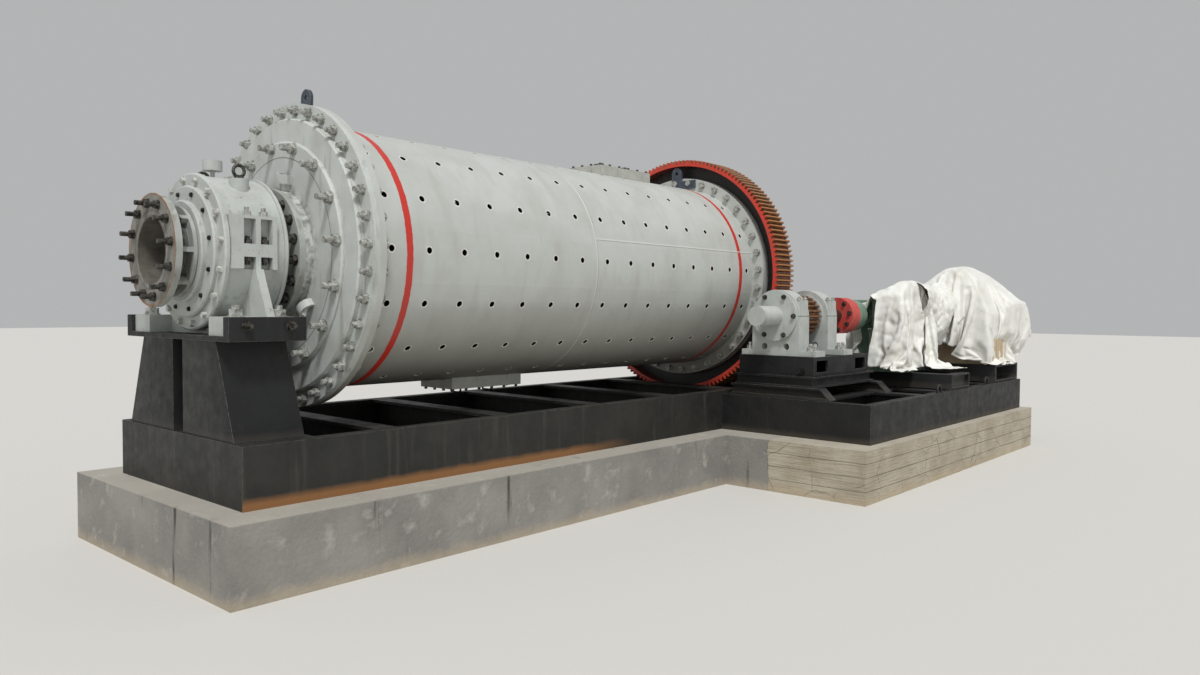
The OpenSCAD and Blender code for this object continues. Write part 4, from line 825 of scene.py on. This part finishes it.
# fasteners: one Geometry Nodes tree sets a bolt or a stud with its nut and
# washer on every point of a mesh, along the point's own direction
def fastenerTree():
    tree = bpy.data.node_groups.new("fasteners_on_points", "GeometryNodeTree")
    face = tree.interface
    face.new_socket("Spots", in_out="INPUT", socket_type="NodeSocketGeometry")
    for name in ("Shank Radius", "Shank Length", "Nut Radius", "Nut Height", "Washer Radius", "Washer Height"):
        face.new_socket(name, in_out="INPUT", socket_type="NodeSocketFloat")
    face.new_socket("Finish", in_out="INPUT", socket_type="NodeSocketMaterial")
    face.new_socket("Seed", in_out="INPUT", socket_type="NodeSocketInt")
    face.new_socket("Fasteners", in_out="OUTPUT", socket_type="NodeSocketGeometry")
    add = partial(addNode, tree)
    given = add("NodeGroupInput").outputs
    out = add("NodeGroupOutput")
    joined = add("GeometryNodeJoinGeometry")
    for part, sides in (("Washer", 16), ("Nut", 6), ("Shank", 10)):
        tall = given["Shank Length" if part == "Shank" else part + " Height"]
        wide = given[part + " Radius"]
        rod = add("GeometryNodeMeshCylinder", {"Vertices": sides, "Radius": wide, "Depth": tall})
        rise = add("Math", {0: tall, 1: 0.5}, operation="MULTIPLY")
        if part == "Nut":
            rise = add("Math", {0: rise, 1: given["Washer Height"]}, operation="ADD")
        lift = add("CombineXYZ", {"Z": rise})
        feed(joined, "Geometry", add("GeometryNodeTransform", {"Geometry": rod, "Translation": lift}))
    way = add("GeometryNodeInputNamedAttribute", {"Name": "way"}, data_type="FLOAT_VECTOR")
    aim = add("FunctionNodeAlignRotationToVector", {"Vector": way.outputs["Attribute"]}, axis="Z")
    twist = add("FunctionNodeRandomValue", {2: 0.0, 3: 6.28, "Seed": given["Seed"]}, data_type="FLOAT")
    turn = add("FunctionNodeEulerToRotation", {"Euler": add("CombineXYZ", {"Z": twist.outputs[1]})})
    rotation = add("FunctionNodeRotateRotation", {"Rotation": aim, "Rotate By": turn}, rotation_space="LOCAL")
    onSpots = {"Points": given["Spots"], "Instance": joined, "Rotation": rotation}
    real = add("GeometryNodeRealizeInstances", {"Geometry": add("GeometryNodeInstanceOnPoints", onSpots)})
    feed(out, "Fasteners", add("GeometryNodeSetMaterial", {"Geometry": real, "Material": given["Finish"]}))
    return tree


fasteners = fastenerTree()


# Points on a ring round the X axis, all aimed along it: count from a first
# angle in degrees, way 1 or -1
def ringSpots(x, radius, count, start, way, centre=(0.0, axisZ)):
    spots = []
    for i in range(count):
        a = math.radians(start) + 2 * math.pi * i / count
        spots.append(((x, centre[0] + radius * math.sin(a), centre[1] + radius * math.cos(a)), (way, 0, 0)))
    return spots


def fitFasteners(name, spots, size, finish, seed, body="stand"):
    mesh = bpy.data.meshes.new(name)
    mesh.from_pydata([spot for spot, way in spots], [], [])
    ways = mesh.attributes.new("way", "FLOAT_VECTOR", "POINT")
    ways.data.foreach_set("vector", [c for spot, way in spots for c in way])
    thing = newObject(name, mesh)
    modifier = thing.modifiers.new("fasteners", "NODES")
    modifier.node_group = fasteners
    values = {
        "Shank Radius": size["shank"], "Shank Length": size["length"],
        "Nut Radius": size["nut"], "Nut Height": size["nutHeight"],
        "Washer Radius": size.get("washer", size["nut"] * 1.15), "Washer Height": size.get("washerHeight", 0.004),
        "Finish": finishes[finish], "Seed": seed,
    }
    for item in fasteners.interface.items_tree:
        if item.item_type == "SOCKET" and item.in_out == "INPUT" and item.name in values:
            modifier[item.identifier] = values[item.name]
    keepResult(thing)
    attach(thing, body)


# Round bar bent along paths, all of one piece's paths in one mesh
def bentBars(name, paths, radius, finish, body, closed=False):
    curve = bpy.data.curves.new(name, "CURVE")
    curve.dimensions = "3D"
    curve.bevel_depth = radius
    curve.bevel_resolution = 2
    curve.use_fill_caps = True
    for path in paths:
        line = curve.splines.new("POLY")
        line.points.add(len(path) - 1)
        line.use_cyclic_u = closed
        for point, spot in zip(line.points, path):
            point.co = (*spot, 1.0)
    holder = newObject(name + "_path", curve)
    graph = bpy.context.evaluated_depsgraph_get()
    mesh = bpy.data.meshes.new_from_object(holder.evaluated_get(graph))
    bpy.data.objects.remove(holder)
    smoothFaces(mesh)
    thing = newObject(name, mesh, finishes[finish])
    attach(thing, body)


# metric sizes in metres; nut is the nut's radius over its corners
m48 = {"shank": 0.024, "length": 0.070, "nut": 0.0433, "nutHeight": 0.038, "washer": 0.052, "washerHeight": 0.008}
m42 = {"shank": 0.021, "length": 0.100, "nut": 0.0375, "nutHeight": 0.034}
m36 = {"shank": 0.018, "length": 0.066, "nut": 0.0318, "nutHeight": 0.029}
m30 = {"shank": 0.015, "length": 0.052, "nut": 0.0266, "nutHeight": 0.024}
m24 = {"shank": 0.012, "length": 0.034, "nut": 0.0208, "nutHeight": 0.019}
m16 = {"shank": 0.008, "length": 0.014, "nut": 0.0139, "nutHeight": 0.010, "washerHeight": 0.002}
up, down = (0, 0, 1), (0, 0, -1)
ends = (("feed", -1), ("discharge", 1))
sides = (-1, 1)

# Rings of bolts at both ends: face is the distance from the shell's middle,
# out is 1 where they point away from it, web is the gear's web under them
flange = {"ring": 0.990, "count": 36, "start": 3.0}
inlet = {"ring": 0.290, "count": 12, "start": 8.0}
cover = {"ring": 0.457, "count": 16, "start": 7.0}
drumRings = {
    "flange_nuts": {"face": 2.310, "web": 0.045, **flange, "out": 1,
                    "size": m36, "finish": "greyBolts", "seed": 2},
    "flange_heads": {"face": 2.220, **flange, "out": -1,
                     "size": {**m36, "length": 0.020}, "finish": "greyBolts", "seed": 3},
    "head_studs": {"face": 2.377, "ring": 0.738, "count": 16, "start": 6.0, "out": 1,
                   "size": m42, "finish": "greyBolts", "seed": 4},
    "trunnion_nuts": {"face": 2.475, "ring": 0.398, "count": 18, "start": 4.0, "out": 1,
                      "size": {**m36, "length": 0.052}, "finish": "darkBolts", "seed": 5},
    "inlet_studs": {"face": 3.214, **inlet, "out": 1,
                    "size": {**m30, "length": 0.080}, "finish": "darkBolts", "seed": 6},
    "neck_nuts": {"face": 3.172, **inlet, "out": -1,
                  "size": {**m30, "length": 0.040}, "finish": "darkBolts", "seed": 7},
}
coverRings = {
    "cover_bolts": {"face": 2.986, **cover, "out": 1,
                    "size": {**m24, "length": 0.024}, "finish": "whiteBolts", "seed": 8},
    "inner_cover_bolts": {"face": 2.570, **cover, "out": -1,
                          "size": {**m16, "length": 0.012}, "finish": "whiteBolts", "seed": 9},
    "seal_bolts": {"face": 3.017, "ring": 0.368, "count": 12, "start": 11.0, "out": 1,
                   "size": m16, "finish": "blackBolts", "seed": 10, "slot": "black_steel"},
}


def fitRings(end, way, rings, body):
    for name, f in rings.items():
        face = f["face"] + (f.get("web", 0.0) if end == "discharge" else 0.0)
        spots = ringSpots(way * face, f["ring"], f["count"], f["start"], way * f["out"])
        fitFasteners(end + "_" + name, spots, f["size"], f["finish"], f["seed"], body)


for end, way in ends:
    fitRings(end, way, drumRings, "drum")
print("stage: drum fasteners fitted")

bearingFits = {
    "pocketX": (2.729, 2.837), "pocketY": 0.477, "flangeTop": 2.012, "flangeBottom": 1.932,
    "lugY": 0.465, "lugTop": 2.185, "footX": (2.705, 2.975), "footY": 0.600, "footTop": 1.568,
    "stopX": (2.700, 2.978), "stopY": 0.735, "stopZ": 1.516, "eyeX": 2.778, "eyeY": 0.250, "eyeZ": 2.432,
    "eyeRingR": 0.036, "eyeRingRise": 0.050, "eyeBar": 0.011,
    "collar": {"shank": 0.016, "length": 0.024, "nut": 0.030, "nutHeight": 0.010, "washer": 0.034},
}


def fitBearing(end, way):
    f = bearingFits
    fitRings(end, way, coverRings, "stand")
    split = [((way * x, side * f["pocketY"], z), aim) for x in f["pocketX"] for side in sides
             for z, aim in ((f["flangeTop"], up), (f["flangeBottom"], down))]
    splitSize = {**m30, "washer": 0.0275, "length": 0.048}
    fitFasteners(end + "_split_nuts", split, splitSize, "darkBolts", 11)
    lug = [((way * x, side * f["lugY"], f["lugTop"]), up) for x in f["pocketX"] for side in sides]
    fitFasteners(end + "_lug_nuts", lug, m30, "greyBolts", 12)
    foot = [((way * x, side * f["footY"], f["footTop"]), up) for x in f["footX"] for side in sides]
    fitFasteners(end + "_foot_bolts", foot, m48, "greyBolts", 13)
    stop = [((way * x, side * f["stopY"], f["stopZ"]), (0, side, 0)) for x in f["stopX"] for side in sides]
    fitFasteners(end + "_stop_bolts", stop, {**m30, "length": 0.060}, "darkBolts", 14)
    ringX, ringZ, ringR = way * f["eyeX"], f["eyeZ"] + f["eyeRingRise"], f["eyeRingR"]
    angles = [k * math.pi / 9 for k in range(18)]
    rings = [[(ringX + ringR * math.cos(a), side * f["eyeY"], ringZ + ringR * math.sin(a)) for a in angles]
             for side in sides]
    bentBars(end + "_eye_rings", rings, f["eyeBar"], "darkBolts", "stand", True)
    collar = [((way * f["eyeX"], side * f["eyeY"], f["eyeZ"]), up) for side in sides]
    fitFasteners(end + "_eye_collars", collar, f["collar"], "darkBolts", 15)


pinionFits = {
    "covers": {"near": (1.929, -1), "far": (2.737, 1)}, "ring": 0.206, "count": 6, "start": 30.0,
    "housingX": (2.050, 2.616), "lugTop": 1.716, "lugY": (-0.226, 0.226), "lugX": (-0.052, 0.052),
    "footTop": 1.242, "footY": (-0.345, 0.305), "footX": (-0.045, 0.045),
    "couplingFace": 3.200, "couplingRing": 0.150, "couplingCount": 8, "couplingStart": 10.0,
    "subBase": (((1.924, -1.640, 1.052), (-1, 0, 0)), ((3.020, -1.640, 1.052), (1, 0, 0))),
}


def fitDrive():
    f = pinionFits
    centre = (pinionAxis.y, pinionAxis.z)
    for name, (face, way) in f["covers"].items():
        cover = ringSpots(face, f["ring"], f["count"], f["start"], way, centre)
        coverSize = {**m24, "length": 0.022}
        fitFasteners(name + "_pinion_cover_bolts", cover, coverSize, "darkBolts", 16)
    lug = [((x + dx, centre[0] + y, f["lugTop"]), up)
           for x in f["housingX"] for dx in f["lugX"] for y in f["lugY"]]
    fitFasteners("pinion_cap_bolts", lug, {**m24, "washer": 0.024}, "greyBolts", 17)
    foot = [((x + dx, centre[0] + y, f["footTop"]), up)
            for x in f["housingX"] for dx in f["footX"] for y in f["footY"]]
    footSize = {**m36, "washer": 0.040, "washerHeight": 0.008}
    fitFasteners("pinion_foot_bolts", foot, footSize, "greyBolts", 18)
    flange = ringSpots(f["couplingFace"], f["couplingRing"], f["couplingCount"], f["couplingStart"], -1, centre)
    flangeSize = {**m24, "length": 0.026}
    fitFasteners("coupling_bolts", flange, flangeSize, "darkBolts", 19, "pinion_line")
    fitFasteners("sub_base_bolt", f["subBase"], m36, "blackBolts", 21)


# The reducer's casing under its cloth, seen only beside the coupling
casing = {
    "blocks": (((3.73, -1.755, 1.007), (4.20, -1.46, 1.40)), ((3.89, -1.47, 1.007), (4.20, -1.12, 1.40)),
               ((3.75, -1.735, 1.43), (4.18, -1.48, 1.78)), ((3.90, -1.50, 1.43), (4.18, -1.14, 1.74)),
               ((3.715, -1.77, 1.40), (4.21, -1.45, 1.43)), ((3.875, -1.46, 1.40), (4.21, -1.11, 1.43))),
    "edge": 0.010, "bossRadius": 0.10, "bossX": (3.862, 3.90),
}


def makeCasing():
    work = bmesh.new()
    for low, high in casing["blocks"]:
        addBox(work, low, high)
    start, end = casing["bossX"]
    middle, radius = Matrix.Translation(((start + end) / 2, pinionAxis.y, pinionAxis.z)), casing["bossRadius"]
    bmesh.ops.create_cone(work, cap_ends=True, segments=48, radius1=radius, radius2=radius,
                          depth=end - start, matrix=middle @ Matrix.Rotation(math.pi / 2, 4, "Y"))
    thing = newObject("reducer_casing", meshFrom(work, "reducer_casing"), finishes["green"])
    roundEdges(thing, casing["edge"])
    keepResult(thing)
    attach(thing, "stand")


makeCasing()
for end, way in ends:
    fitBearing(end, way)
fitDrive()
print("stage: bearing and drive fasteners fitted")

hatches = {"top": {"x": 1.080, "face": 2.962, "bar": 2.942, "out": 1},
           "bottom": {"x": -0.660, "face": 0.982, "bar": 1.002, "out": -1}}
hatchFits = {
    "alongX": (-0.340, -0.204, -0.068, 0.068, 0.204, 0.340), "alongY": (-0.172, 0.172),
    "endX": (-0.340, 0.340), "endY": (-0.057, 0.057), "handleX": (-0.17, 0.17), "handleBar": 0.008,
    "handle": ((-0.06, 0.0), (-0.06, 0.035), (-0.052, 0.045), (0.052, 0.045), (0.06, 0.035), (0.06, 0.0)),
}


def fitManhole(name, hatch):
    f, x, out = hatchFits, hatch["x"], hatch["out"]
    around = [(dx, y) for dx in f["alongX"] for y in f["alongY"]]
    around += [(dx, y) for dx in f["endX"] for y in f["endY"]]
    studs = [((x + dx, y, hatch["bar"]), (0, 0, out)) for dx, y in around]
    studSize = {**m24, "length": 0.040}
    fitFasteners(name + "_manhole_studs", studs, studSize, "darkBolts", 20, "drum")
    handles = [[(x + dx, y, hatch["face"] + out * rise) for y, rise in f["handle"]] for dx in f["handleX"]]
    bentBars(name + "_manhole_handles", handles, f["handleBar"], "darkBolts", "drum")


for name, hatch in hatches.items():
    fitManhole(name, hatch)
print("stage: manhole fittings made")
